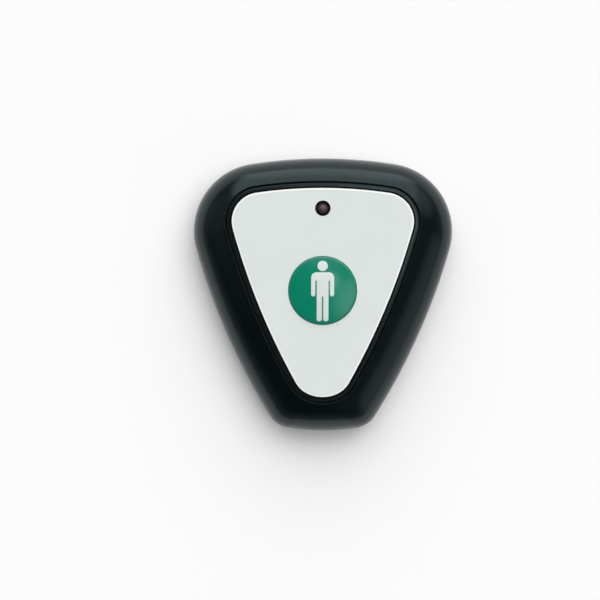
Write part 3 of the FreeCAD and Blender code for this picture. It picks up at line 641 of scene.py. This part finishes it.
HOUSING_BLACK = ShellPlastic(
    "housing_black", tint(8, 15, 16), 0.15, relief=0.0016, clouding=0.1, dust=0.015,
    handling=0.05, gloss_tint=(0.77, 1.0, 1.05, 1.0), index=1.42,
)
PANEL_WHITE = EdgedPlastic(
    "panel_white", tint(222, 229, 226), 0.55, relief=0.0006, clouding=0.008, dust=0.0,
    # The bevel's painted highlight.
    bevel_highlight_colour=tint(250, 252, 250),
)
BUTTON_GREEN = Plastic(
    "button_green", tint(3, 129, 101), 0.12, relief=0.0006, clouding=0.02, handling=0.02, dust=0.0
)
SIGN_WHITE = Plastic(
    "sign_white", tint(217, 226, 223), 0.42, grain=0.25, relief=0.002, clouding=0.02, dust=0.0
)
LENS_SMOKE = TintedLens("lens_smoke", tint(88, 73, 75))
SEAL_BLACK = Plastic("seal_black", tint(30, 30, 31), 0.62, relief=0.006, dust=0.3)
TAPE_WHITE = Plastic("tape_white", tint(214, 210, 198), 0.55, grain=0.4, relief=0.01)
DARK_MOULDING = Plastic("dark_moulding", tint(26, 26, 28), 0.45, relief=0.004, dust=0.2)
PALE_MOULDING = Plastic("pale_moulding", tint(226, 223, 212), 0.48, relief=0.004)
CHIP_BLACK = Plastic("chip_black", tint(31, 32, 35), 0.58, grain=0.09, relief=0.006, dust=0.2)
CERAMIC_TAN = Plastic("ceramic_tan", tint(176, 146, 110), 0.5, grain=0.1, relief=0.004)
SCREW_STEEL = Metal("screw_steel", tint(206, 208, 210), tint(128, 126, 122), 0.22)
SOLDER_BRIGHT = Metal("solder_bright", tint(214, 216, 218), tint(170, 170, 168), 0.16)
LEAD_TIN = Metal("lead_tin", tint(208, 210, 208), tint(150, 150, 146), 0.34, Lay.ALONG_Z)
CAN_STEEL = Metal("can_steel", tint(198, 200, 200), tint(140, 138, 132), 0.25, Lay.ALONG_X)
TRACE_COPPER = Metal("trace_copper", tint(214, 136, 92), tint(120, 70, 44), 0.34, Lay.ALONG_Y)
BOARD_GREEN = SolderMask("board_green", tint(10, 84, 50), tint(30, 122, 72))
CELL_SLEEVE = CellSleeve(
    "cell_sleeve", tint(24, 30, 70), tint(196, 164, 84), tint(206, 206, 202),
    band_from=6.5, nub_from=12.95,
)
FLOOR_WHITE = PaleFloor("floor_white", (1.0, 1.0, 1.0, 1.0))

FINISHED_NODES: dict[Finish, tuple[str, ...]] = {
    HOUSING_BLACK: ("front_shell", "rear_cover"),
    SEAL_BLACK: ("cover_seal", "button_seal"),
    SCREW_STEEL: ("cover_screws", "board_screws"),
    PANEL_WHITE: ("face_panel",),
    TAPE_WHITE: ("panel_tape",),
    BUTTON_GREEN: ("call_button",),
    BOARD_GREEN: ("circuit_board",),
    DARK_MOULDING: ("switch_base", "switch_plunger"),
    CAN_STEEL: ("switch_cover", "switch_dome", "saw_resonator"),
    LEAD_TIN: ("switch_pins", "led_leads", "positive_contact", "negative_contact", "encoder_legs"),
    LENS_SMOKE: ("indicator_led",),
    PALE_MOULDING: ("led_spacer",),
    CELL_SLEEVE: ("battery",),
    CHIP_BLACK: ("encoder_chip", "radio_transistor", "chip_resistors"),
    CERAMIC_TAN: ("chip_capacitors",),
    TRACE_COPPER: ("antenna_trace",),
}


class Edges(Enum):
    """How a piece's faces are shaded into each other."""

    ROUND = math.radians(180)
    CREASED = math.radians(32)


def placed(name: str, data: bpy.types.ID) -> Object:
    """Puts a mesh, a light or a camera into the scene.

    Args:
        name: The object's name.
        data: What it shows.

    Returns:
        The new object.
    """
    made = bpy.data.objects.new(name, data)
    bpy.context.scene.collection.objects.link(made)
    return made


def as_piece(name: str, mesh: BMesh, edges: Edges = Edges.CREASED) -> Object:
    """Turns a finished bmesh into an object that sits at the origin.

    Args:
        name: The object's name.
        mesh: The bmesh, which is freed.
        edges: How its faces are shaded.

    Returns:
        The new object, linked to the scene.
    """
    data = bpy.data.meshes.new(name)
    for face in mesh.faces:
        face.smooth = True
    mesh.to_mesh(data)
    mesh.free()
    if edges is not Edges.ROUND:
        data.set_sharp_from_angle(angle=edges.value)
    return placed(name, data)


def middle_of(low: Vector, high: Vector) -> Point:
    """The middle, in millimetres, of a box given in metres."""
    return ((low.x + high.x) / 2 / MM, (low.y + high.y) / 2 / MM)


def soften(mesh: BMesh, edges: list[BMEdge], offset: float) -> None:
    """Rounds edges by an offset in millimetres."""
    bmesh.ops.bevel(
        mesh, geom=edges, offset=offset * MM, segments=2, profile=0.5, affect="EDGES", material=-1
    )


def block(mesh: BMesh, middle: Axes, size: Axes) -> list[BMVert]:
    """Adds a box, given in millimetres.

    Args:
        mesh: The bmesh to add it to.
        middle: Where its middle is.
        size: How long its sides are.

    Returns:
        Its corners.
    """
    place, scale = ([part * MM for part in parts] for parts in (middle, size))
    made = bmesh.ops.create_cube(mesh, size=1, matrix=Matrix.LocRotScale(place, None, scale))
    return made["verts"]


def spun(
    mesh: BMesh, geometry: list[Any], centre: Point, angle: float, steps: int,
    rise: float = 0.0, closed: bool = False,
) -> list[Any]:
    """Spins corners and edges about an upright axis.

    Args:
        mesh: The bmesh that they are in.
        geometry: The corners and edges.
        centre: Where the axis stands, in millimetres.
        angle: How far they turn, in radians, anticlockwise where positive.
        steps: How many short runs that takes.
        rise: How far each run climbs, in millimetres.
        closed: Whether the last run meets the first.

    Returns:
        The corners and edges at the far end.
    """
    made = bmesh.ops.spin(
        mesh, geom=geometry, cent=(centre[0] * MM, centre[1] * MM, 0), axis=(0, 0, 1),
        dvec=(0, 0, rise * MM), angle=angle, steps=steps, use_merge=closed,
        use_normal_flip=False, use_duplicate=False,
    )
    return made["geom_last"]


class Pen:
    """Draws one run of straight and round strokes in the XY plane of a bmesh."""

    def __init__(self, mesh: BMesh, start: Point) -> None:
        """Puts the pen down at a point given in millimetres."""
        self.mesh = mesh
        self.tip = mesh.verts.new((start[0] * MM, start[1] * MM, 0))

    def line(self, x: float, y: float) -> None:
        """Draws a straight stroke to a point given in millimetres.

        Args:
            x: How far right the point is.
            y: How far up it is.
        """
        self.tip = bmesh.ops.extrude_vert_indiv(self.mesh, verts=[self.tip])["verts"][0]
        step = Vector((x * MM, y * MM, 0)) - self.tip.co
        bmesh.ops.translate(self.mesh, verts=[self.tip], vec=step)

    def arc(self, centre: Point, degrees: float, steps: int = 12) -> None:
        """Draws a round stroke.

        Args:
            centre: The point that it turns about, in millimetres.
            degrees: How far it turns, anticlockwise where positive.
            steps: How many short runs it has.
        """
        last = spun(self.mesh, [self.tip], centre, math.radians(degrees), steps)
        self.tip = next(item for item in last if isinstance(item, BMVert))


def turned(mesh: BMesh, profile: list[Point], centre: Point, steps: int) -> None:
    """Turns a half profile about an upright axis into a closed form.

    Args:
        mesh: The bmesh to add it to.
        profile: Radius and height of each corner, in millimetres, from the axis to the axis.
        centre: Where the axis stands, in millimetres.
        steps: How many faces it has round.
    """
    x, y = centre[0] * MM, centre[1] * MM
    corners = [mesh.verts.new((x + r * MM, y, z * MM)) for r, z in profile]
    runs = [mesh.edges.new(pair) for pair in zip(corners, corners[1:])]
    spun(mesh, corners + runs, centre, math.tau, steps, closed=True)
    bmesh.ops.remove_doubles(mesh, verts=mesh.verts, dist=WELD)
    bmesh.ops.recalc_face_normals(mesh, faces=mesh.faces)


def islands(node: str) -> list[tuple[Vector, Vector]]:
    """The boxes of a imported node's separate solids.

    Args:
        node: The node's name.

    Returns:
        The lowest and highest corner of each solid, in metres, in a fixed order.
    """
    mesh = bmesh.new()
    mesh.from_mesh(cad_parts[node].data)
    bmesh.ops.remove_doubles(mesh, verts=mesh.verts, dist=JOIN)
    loose = set(mesh.verts)
    boxes = []
    while loose:
        found = [loose.pop()]
        for vert in found:
            fresh = [e.other_vert(vert) for e in vert.link_edges if e.other_vert(vert) in loose]
            loose.difference_update(fresh)
            found.extend(fresh)
        low = Vector(min(v.co[axis] for v in found) for axis in range(3))
        high = Vector(max(v.co[axis] for v in found) for axis in range(3))
        boxes.append((low, high))
    mesh.free()
    return sorted(boxes, key=lambda box: [round(part, PLACES) for part in box[0].xy])


@dataclass(frozen=True)
class StandingPerson:
    """The plain sign of a standing person, printed on the domed button."""

    head_y: float = 6.3
    head_radius: float = 1.32
    shoulder_top: float = 4.67
    half_width: float = 2.95
    shoulder_round: float = 1.44
    arm_width: float = 1.07
    arm_end: float = -1.55
    armpit: float = 2.54
    torso_half: float = 1.52
    leg_gap: float = 0.34
    foot_end: float = -7.93
    foot_round: float = 0.6
    dome_radius: float = 70.0
    ink_height: float = 0.03
    ink_root: float = 0.02
    ink_round: float = 0.015
    mesh_pitch: float = 0.7
    head_steps: int = 56
    bend_steps: int = 8
    fork_steps: int = 6

    def dome(self, top: float, x: float, y: float) -> float:
        """The height of the button's face, in metres, over a point given in metres."""
        radius = self.dome_radius * MM
        return top - radius + math.sqrt(radius**2 - x**2 - y**2)

    def draw_head(self, mesh: BMesh) -> None:
        """Draws the head as a flat disc.

        Args:
            mesh: The bmesh to draw in.
        """
        place = Matrix.Translation((0, self.head_y * MM, 0))
        radius = self.head_radius * MM
        bmesh.ops.create_circle(
            mesh, cap_ends=True, segments=self.head_steps, radius=radius, matrix=place
        )

    def draw_body(self, mesh: BMesh) -> None:
        """Draws the right half of shoulders, arm, torso and leg, and mirrors it.

        Args:
            mesh: The bmesh to draw in.
        """
        inner = self.half_width - self.arm_width
        hand = self.arm_width / 2
        gap = (inner - self.torso_half) / 2
        leg = self.leg_gap / 2
        heel, corner = self.foot_end + self.foot_round, self.foot_round
        shoulder = self.half_width - self.shoulder_round
        known = set(mesh.edges)
        pen = Pen(mesh, (0, self.shoulder_top))
        pen.line(shoulder, self.shoulder_top)
        pen.arc((shoulder, self.shoulder_top - self.shoulder_round), -90)
        pen.line(self.half_width, self.arm_end + hand)
        pen.arc((self.half_width - hand, self.arm_end + hand), -180)
        pen.line(inner, self.armpit - gap)
        pen.arc((inner - gap, self.armpit - gap), 180, self.bend_steps)
        pen.line(self.torso_half, heel)
        pen.arc((self.torso_half - corner, heel), -90, self.bend_steps)
        pen.line(leg + corner, self.foot_end)
        pen.arc((leg + corner, heel), -90, self.bend_steps)
        pen.line(leg, self.arm_end - leg)
        pen.arc((0, self.arm_end - leg), 90, self.fork_steps)
        half = [edge for edge in mesh.edges if edge not in known]
        corners = list(dict.fromkeys(vert for edge in half for vert in edge.verts))
        mirrored = bmesh.ops.mirror(mesh, geom=half + corners, axis="X", merge_dist=JOIN)
        other = [item for item in mirrored["geom"] if isinstance(item, BMEdge)]
        bmesh.ops.contextual_create(mesh, geom=list(dict.fromkeys(half + other)))

    def build(self, top: float) -> Object:
        """Makes the print as a thin raised skin that follows the dome.

        Args:
            top: The height of the dome's top, in metres.

        Returns:
            The finished piece.
        """
        mesh = bmesh.new()
        self.draw_head(mesh)
        self.draw_body(mesh)
        bmesh.ops.recalc_face_normals(mesh, faces=mesh.faces)
        for face in mesh.faces:
            if face.normal.z < 0:
                face.normal_flip()
        raised = bmesh.ops.extrude_face_region(mesh, geom=list(mesh.faces))
        caps = [item for item in raised["geom"] if isinstance(item, BMFace)]
        corners = [vert for face in caps for vert in face.verts]
        rise = (self.ink_height + self.ink_root) * MM
        bmesh.ops.translate(mesh, verts=corners, vec=(0, 0, rise))
        soften(mesh, [edge for face in caps for edge in face.edges], self.ink_round)
        self.cut_grid(mesh)
        bmesh.ops.triangulate(mesh, faces=mesh.faces)
        for vert in mesh.verts:
            vert.co.z += self.dome(top, vert.co.x, vert.co.y) - self.ink_root * MM
        return as_piece("standing_person", mesh)

    def cut_grid(self, mesh: BMesh) -> None:
        """Cuts the flat faces along a grid, so that they can follow the dome.

        Args:
            mesh: The bmesh to cut.
        """
        reach = max(self.half_width, -self.foot_end, self.head_y + self.head_radius)
        count = math.ceil(reach / self.mesh_pitch)
        for step in range(-count, count + 1):
            for normal in (Vector((1, 0, 0)), Vector((0, 1, 0))):
                place = normal * (step + 0.5) * self.mesh_pitch * MM
                geometry = mesh.verts[:] + mesh.edges[:] + mesh.faces[:]
                bmesh.ops.bisect_plane(
                    mesh, geom=geometry, dist=WELD, plane_co=place, plane_no=normal
                )


@dataclass(frozen=True)
class LampInside:
    """What shows through the lamp's resin: the cup on its stem, the chip in it and the post.

    The cup's depth is a share of its height, its floor a share of its mouth, and its mouth and
    stem are shares of its radius. The stem begins at the neck, measured down from the rim. What
    is called a drop is measured down from the lamp's top.
    """

    cup_radius: float = 0.42
    cup_drop: float = 1.5
    cup_height: float = 0.5
    depth_share: float = 0.55
    mouth_share: float = 0.86
    floor_share: float = 0.55
    stem_share: float = 0.6
    neck: float = 0.8
    stem_drop: float = 5.0
    post_width: float = 0.42
    post_height: float = 3.4
    post_drop: float = 1.65
    post_gap: float = 0.95
    post_taper: float = 0.7
    post_round: float = 0.05
    chip_side: float = 0.26
    chip_height: float = 0.12
    chip_round: float = 0.015
    steps: int = 40

    def cup(self, centre: Point, top: float) -> Object:
        """The reflector cup on its stem.

        Args:
            centre: Where the lamp stands, in millimetres.
            top: Its top, in millimetres.

        Returns:
            The cup.
        """
        mesh = bmesh.new()
        rim, foot = top - self.cup_drop, top - self.stem_drop
        floor = rim - self.cup_height * self.depth_share
        inner = self.cup_radius * self.mouth_share
        stem = self.cup_radius * self.stem_share
        turned(mesh, [
            (0, floor), (inner * self.floor_share, floor), (inner, rim), (self.cup_radius, rim),
            (self.cup_radius, rim - self.cup_height), (stem, rim - self.neck), (stem, foot),
            (0, foot),
        ], centre, self.steps)
        return as_piece("lamp_cup", mesh)

    def post(self, centre: Point, top: float) -> Object:
        """The second post, which tapers to its top.

        Args:
            centre: Where the lamp stands, in millimetres.
            top: Its top, in millimetres.

        Returns:
            The post.
        """
        mesh = bmesh.new()
        height = top - self.post_drop - self.post_height / 2
        middle = (centre[0] + self.post_gap, centre[1], height)
        corners = block(mesh, middle, (self.post_width, self.post_width, self.post_height))
        upper = [vert for vert in corners if vert.co.z > height * MM]
        taper = (self.post_taper, self.post_taper, 1)
        space = Matrix.Translation(-Vector(middle) * MM)
        bmesh.ops.scale(mesh, verts=upper, vec=taper, space=space)
        soften(mesh, mesh.edges[:], self.post_round)
        return as_piece("lamp_post", mesh)

    def chip(self, centre: Point, top: float) -> Object:
        """The small chip in the cup.

        Args:
            centre: Where the lamp stands, in millimetres.
            top: Its top, in millimetres.

        Returns:
            The chip.
        """
        mesh = bmesh.new()
        base = top - self.cup_drop - self.cup_height * self.depth_share
        middle = (centre[0], centre[1], base + self.chip_height / 2)
        block(mesh, middle, (self.chip_side, self.chip_side, self.chip_height))
        soften(mesh, mesh.edges[:], self.chip_round)
        return as_piece("lamp_chip", mesh)

    def build(self) -> list[Object]:
        """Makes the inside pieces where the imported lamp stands.

        Returns:
            The three pieces.
        """
        low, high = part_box("indicator_led")
        centre, top = middle_of(low, high), high.z / MM
        pieces = [self.cup(centre, top), self.post(centre, top), self.chip(centre, top)]
        LEAD_TIN.coat(*pieces)
        for piece in pieces:
            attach(piece, "housing")
        return pieces


@dataclass(frozen=True)
class CrossScrew:
    """A self-tapping screw, head down: a domed head with a tapered cross recess, and a thread.

    The thread begins a root's depth inside the core. Its foot reaches a share of the pitch to
    each side of its crest. Each screw is turned on from the last, by an angle in radians.
    """

    node: str
    head_radius: float
    head_height: float
    core_radius: float
    crest_radius: float
    pitch: float
    wing: float
    recess: float
    head_round: float = 0.45
    face_rise: float = 0.1
    wing_width: float = 0.62
    tip_length: float = 1.5
    tip_radius: float = 0.25
    start_gap: float = 0.3
    edge_break: float = 0.1
    neck_flare: float = 0.15
    root_depth: float = 0.06
    foot_share: float = 0.3
    wing_taper: float = 0.42
    wing_flare: float = 1.4
    first_turn: float = 0.4
    next_turn: float = 1.3
    steps: int = 32

    def head(self, length: float) -> Object:
        """Turns the head and the core in one piece.

        Args:
            length: The whole screw's length, in millimetres.

        Returns:
            The screw without its recess and thread.
        """
        mesh = bmesh.new()
        wide, high, core = self.head_radius, self.head_height, self.core_radius
        flat = wide - self.head_round
        dome = [
            (flat + self.head_round * out, self.face_rise + self.head_round * up)
            for out, up in QUARTER
        ]
        turned(mesh, [
            (0, 0), (flat / 2, self.face_rise / 4), *dome,
            (wide, high - self.edge_break), (wide - self.edge_break, high),
            (core + self.neck_flare, high), (core, high + self.neck_flare),
            (core, length - self.tip_length), (self.tip_radius, length), (0, length),
        ], (0, 0), self.steps)
        return as_piece("plain_screw", mesh)

    def thread(self, length: float) -> Object:
        """Winds the thread round the core, fading out at both ends.

        Args:
            length: The whole screw's length, in millimetres.

        Returns:
            The thread alone.
        """
        mesh = bmesh.new()
        low = self.head_height + self.start_gap + self.pitch / 2
        high = length - self.pitch / 2
        turns = (high - low) / self.pitch
        steps = round(turns * self.steps)
        root, half = self.core_radius - self.root_depth, self.pitch * self.foot_share
        corners = [
            mesh.verts.new((x * MM, 0, z * MM))
            for x, z in ((root, low - half), (self.crest_radius, low), (root, low + half))
        ]
        sides = [mesh.edges.new((a, b)) for a, b in zip(corners, corners[1:] + corners[:1])]
        bmesh.ops.contextual_create(mesh, geom=sides)
        climb = (high - low) / steps
        last = spun(mesh, corners + sides, (0, 0), math.tau * turns, steps, rise=climb)
        ends = [item for item in last if isinstance(item, BMEdge)]
        bmesh.ops.contextual_create(mesh, geom=ends)
        flank = (root + self.crest_radius) / 2 * MM
        for vert in mesh.verts:
            height = vert.co.z / MM
            radius = vert.co.xy.length
            if radius > flank:
                rest = min(height - low, high - height)
                share = max(0.0, min(1.0, rest / self.pitch, (length - height) / self.tip_length))
                vert.co.xy *= (root + (self.crest_radius - root) * share) * MM / radius
            if height > length - self.tip_length:
                run = (height - length + self.tip_length) / self.tip_length
                vert.co.xy *= 1 - run * (1 - self.tip_radius / self.core_radius)
        bmesh.ops.recalc_face_normals(mesh, faces=mesh.faces)
        return as_piece("wound", mesh, Edges.ROUND)

    def blade(self, across: bool) -> Object:
        """One wing pair of the recess's tapered cross, as a form to cut with.

        Args:
            across: Whether it lies along Y instead of X.

        Returns:
            The form.
        """
        mesh = bmesh.new()
        sides = (self.wing * 2, self.wing_width)
        x, y = reversed(sides) if across else sides
        corners = block(mesh, (0, 0, 0), (x, y, self.recess * 2))
        for way, share in ((1, self.wing_taper), (-1, self.wing_flare)):
            end = [vert for vert in corners if vert.co.z * way > 0]
            bmesh.ops.scale(mesh, verts=end, vec=(share, share, 1))
        bmesh.ops.recalc_face_normals(mesh, faces=mesh.faces)
        return as_piece("blade", mesh)

    def cut(self, screw: Object) -> bpy.types.Mesh:
        """Cuts the cross recess into a screw and removes the screw's object.

        Args:
            screw: The whole screw.

        Returns:
            The finished mesh.
        """
        blades = [self.blade(False), self.blade(True)]
        for blade in blades:
            modifier = screw.modifiers.new("recess", "BOOLEAN")
            modifier.operation = "DIFFERENCE"
            modifier.solver = "EXACT"
            modifier.object = blade
        graph = bpy.context.evaluated_depsgraph_get()
        made = bpy.data.meshes.new_from_object(screw.evaluated_get(graph))
        for piece in (screw, *blades):
            bpy.data.objects.remove(piece)
        return made

    def build(self) -> Object:
        """Makes a screw in the place of each of the node's solids.

        Returns:
            All of the node's screws as one piece.
        """
        boxes = islands(self.node)
        length = (boxes[0][1].z - boxes[0][0].z) / MM
        single = self.cut(self.head(length))
        wound = self.thread(length)
        mesh = bmesh.new()
        for number, (low, high) in enumerate(boxes):
            middle = (low + high) / 2
            known = set(mesh.verts)
            mesh.from_mesh(single)
            mesh.from_mesh(wound.data)
            fresh = [vert for vert in mesh.verts if vert not in known]
            turn = Matrix.Rotation(number * self.next_turn + self.first_turn, 3, "Z")
            bmesh.ops.rotate(mesh, verts=fresh, cent=(0, 0, 0), matrix=turn)
            bmesh.ops.translate(mesh, verts=fresh, vec=(middle.x, middle.y, low.z))
        bpy.data.objects.remove(wound)
        piece = as_piece(f"threaded_{self.node}", mesh)
        SCREW_STEEL.coat(piece)
        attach(piece, "housing")
        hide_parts(self.node)
        return piece


@dataclass(frozen=True)
class SolderJoints:
    """The cones of solder under the board, round each lead that comes through it."""

    foot_radius: float = 0.85
    neck_radius: float = 0.42
    height: float = 0.7
    root: float = 0.02
    tip: float = 0.04
    steps: int = 24

    def build(self) -> Object:
        """Makes a cone round every switch pin and lamp lead.

        Returns:
            All the joints as one piece.
        """
        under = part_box("circuit_board")[0].z / MM
        reach = self.foot_radius - self.neck_radius
        profile = [
            (0, under + self.root), (self.foot_radius, under + self.root),
            *((self.foot_radius - reach * out, under - self.height * up) for out, up in QUARTER),
            (0, under - self.height - self.tip),
        ]
        mesh = bmesh.new()
        for node in ("switch_pins", "led_leads"):
            for low, high in islands(node):
                turned(mesh, profile, middle_of(low, high), self.steps)
        piece = as_piece("solder_joints", mesh)
        SOLDER_BRIGHT.coat(piece)
        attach(piece, "housing")
        return piece


@dataclass(frozen=True)
class SnapDome:
    """The thin sprung dome in the switch, which gives way when the plunger comes down on it."""

    thickness: float = 0.15
    rings: int = 16
    steps: int = 72

    def build(self) -> Object:
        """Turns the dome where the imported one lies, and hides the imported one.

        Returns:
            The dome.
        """
        low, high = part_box("switch_dome")
        radius = (high.x - low.x) / 2 / MM
        crown = high.z / MM - self.thickness
        rise = crown - low.z / MM
        sphere = (radius**2 + rise**2) / (rise * 2)
        reaches = [radius * ring / self.rings for ring in range(self.rings + 1)]
        under = [(reach, crown - sphere + math.sqrt(sphere**2 - reach**2)) for reach in reaches]
        over = [(reach, height + self.thickness) for reach, height in reversed(under)]
        mesh = bmesh.new()
        turned(mesh, under + over, middle_of(low, high), self.steps)
        piece = as_piece("yielding_dome", mesh)
        CAN_STEEL.coat(piece)
        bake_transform(piece)
        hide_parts("switch_dome")
        return piece


@dataclass(frozen=True)
class SoftBox:
    """A soft patch of light in the surroundings.

    Its direction points from the object to its middle. It is full within the first angle from
    there and gone at the second, both in degrees.
    """

    direction: Axes
    full: float
    gone: float
    strength: float

    def level(self, graph: Graph, where: Signal) -> Signal:
        """How much light comes from a direction.

        Args:
            graph: The world's nodes.
            where: The direction that is looked at.

        Returns:
            The strength of the light.
        """
        axis = tuple(Vector(self.direction).normalized())
        near = graph.vector("DOT_PRODUCT", where, axis, output=1)
        low, high = (math.cos(math.radians(angle)) for angle in (self.gone, self.full))
        return near.between(low, high) * self.strength


@dataclass(frozen=True)
class Studio:
    """The floor, the light and the camera."""

    floor_side: float = 6000.0
    floor_cells: int = 8
    dome_strength: float = 0.03
    horizon_strength: float = 0.42
    horizon_low: float = 0.0
    horizon_high: float = 32.0
    backdrop_strength: float = 1.25
    backdrop_low: float = 1.5
    backdrop_high: float = 3.0
    boxes: tuple[SoftBox, ...] = (
        SoftBox((0.06, 0.8, 0.6), 34.0, 44.0, 2.1),  # broad, beyond the lamp's end
        SoftBox((1.0, -0.2, 0.6), 40.0, 75.0, 0.15),  # faint, on the right
        SoftBox((0.275, -0.09, 0.957), 3.0, 14.0, 1.75),  # overhead, on the button's right half
        SoftBox((0.055, 0.079, 0.996), 2.6, 5.2, 3.6),  # small, just off the button's middle
        SoftBox((0.6, 0.6, 0.55), 12.0, 34.0, 0.95),  # beyond the upper right corner
        SoftBox((0.1, 1.0, 0.06), 12.0, 40.0, 3.0),  # low beyond the lamp's end
        SoftBox((0.84, -0.45, 0.26), 6.0, 30.0, 0.8),  # low on the right
        SoftBox((-0.92, 0.3, 0.26), 6.0, 30.0, 0.45),  # low on the left
        SoftBox((-0.76, 0.28, 0.58), 10.0, 38.0, 0.38),  # higher on the left
    )
    fill_from: Axes = (0.25, 0.2, 0.95)
    fill_strength: float = 1.31
    fill_spread: float = 65.0
    camera_height: float = 367.0
    lens: float = 81.6
    clip_start: float = 10.0
    clip_end: float = 20000.0
    aim: Axes = (-5.81, -2.47, 17.0)
    roll: float = 0.15

    def floor(self) -> None:
        """Lays the floor under the object."""
        mesh = bmesh.new()
        cells, reach = self.floor_cells, self.floor_side / 2 * MM
        bmesh.ops.create_grid(mesh, x_segments=cells, y_segments=cells, size=reach)
        piece = as_piece("floor", mesh)
        FLOOR_WHITE.coat(piece)

    def below(self, graph: Graph, where: Signal, full: float, gone: float) -> Signal:
        """The directions that lie low.

        Args:
            graph: The world's nodes.
            where: The direction that is looked at.
            full: The height, in degrees, up to which the result is 1.
            gone: The height, in degrees, from which the result is 0.

        Returns:
            A value that eases from 1 to 0.
        """
        low, high = (math.sin(math.radians(angle)) for angle in (full, gone))
        return 1 - graph.axis(where, "Z").between(low, high)

    def surroundings(self) -> None:
        """Lights the scene from a dim dome with a pale horizon and some soft patches."""
        world = bpy.data.worlds.new("surroundings")
        bpy.context.scene.world = world
        world.use_nodes = True
        graph = Graph(world.node_tree)
        where = graph.node("ShaderNodeTexCoord", output="Generated")
        horizon = self.below(graph, where, self.horizon_low, self.horizon_high)
        backdrop = self.below(graph, where, self.backdrop_low, self.backdrop_high)
        level = self.dome_strength + horizon * (self.horizon_strength - self.dome_strength)
        level = graph.math("MAXIMUM", level, backdrop * self.backdrop_strength)
        for box in self.boxes:
            level = graph.math("MAXIMUM", level, box.level(graph, where))
        light = graph.node("ShaderNodeBackground", inputs={"Strength": level})
        graph.end("ShaderNodeOutputWorld", light)

    def fill(self) -> None:
        """Adds the broad soft light from above, which no gloss shows."""
        data = bpy.data.lights.new("fill", "SUN")
        data.energy = self.fill_strength
        data.angle = math.radians(self.fill_spread)
        lamp = placed("fill", data)
        lamp.visible_glossy = False
        lamp.rotation_euler = Vector(self.fill_from).to_track_quat("Z", "Y").to_euler()

    def camera(self) -> None:
        """Looks straight down on the button, aimed beside it as the photograph is framed."""
        data = bpy.data.cameras.new("camera")
        data.lens = self.lens
        data.clip_start = self.clip_start * MM
        data.clip_end = self.clip_end * MM
        camera = placed("camera", data)
        camera.location = (0, 0, self.camera_height * MM)
        ahead = (Vector(self.aim) * MM - camera.location).normalized()
        lean = math.radians(self.roll)
        right = ahead.cross(Vector((-math.sin(lean), math.cos(lean), 0))).normalized()
        camera.rotation_euler = Matrix((right, right.cross(ahead), -ahead)).transposed().to_euler()
        bpy.context.scene.camera = camera

    def build(self) -> None:
        """Sets the whole studio up."""
        self.floor()
        self.surroundings()
        self.fill()
        self.camera()
        bpy.context.scene.view_settings.view_transform = "Standard"


def dress_nodes() -> None:
    """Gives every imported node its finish."""
    for finish, names in FINISHED_NODES.items():
        finish.coat(*(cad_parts[name] for name in names))
        LOG.info("%s is on %s", finish.label, ", ".join(names))


def print_sign() -> Object:
    """Prints the sign on the button.

    Returns:
        The printed piece.
    """
    sign = StandingPerson().build(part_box("call_button")[1].z)
    SIGN_WHITE.coat(sign)
    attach(sign, "button")
    return sign


def main() -> None:
    """Builds and dresses everything in order."""
    logging.basicConfig(level=logging.INFO, format="%(message)s")
    dress_nodes()
    screws = (
        CrossScrew(
            "cover_screws", head_radius=2.4, head_height=1.7, core_radius=0.85,
            crest_radius=1.2, pitch=0.9, wing=1.25, recess=1.0,
        ),
        CrossScrew(
            "board_screws", head_radius=1.8, head_height=1.2, core_radius=0.6,
            crest_radius=0.9, pitch=0.7, wing=1.0, recess=0.75,
        ),
    )
    made = [print_sign(), *LampInside().build(), *(screw.build() for screw in screws)]
    made += [SolderJoints().build(), SnapDome().build()]
    for piece in made:
        LOG.info("%s has %d faces", piece.name, len(piece.data.polygons))
    Studio().build()


if __name__ == "__main__":
    main()
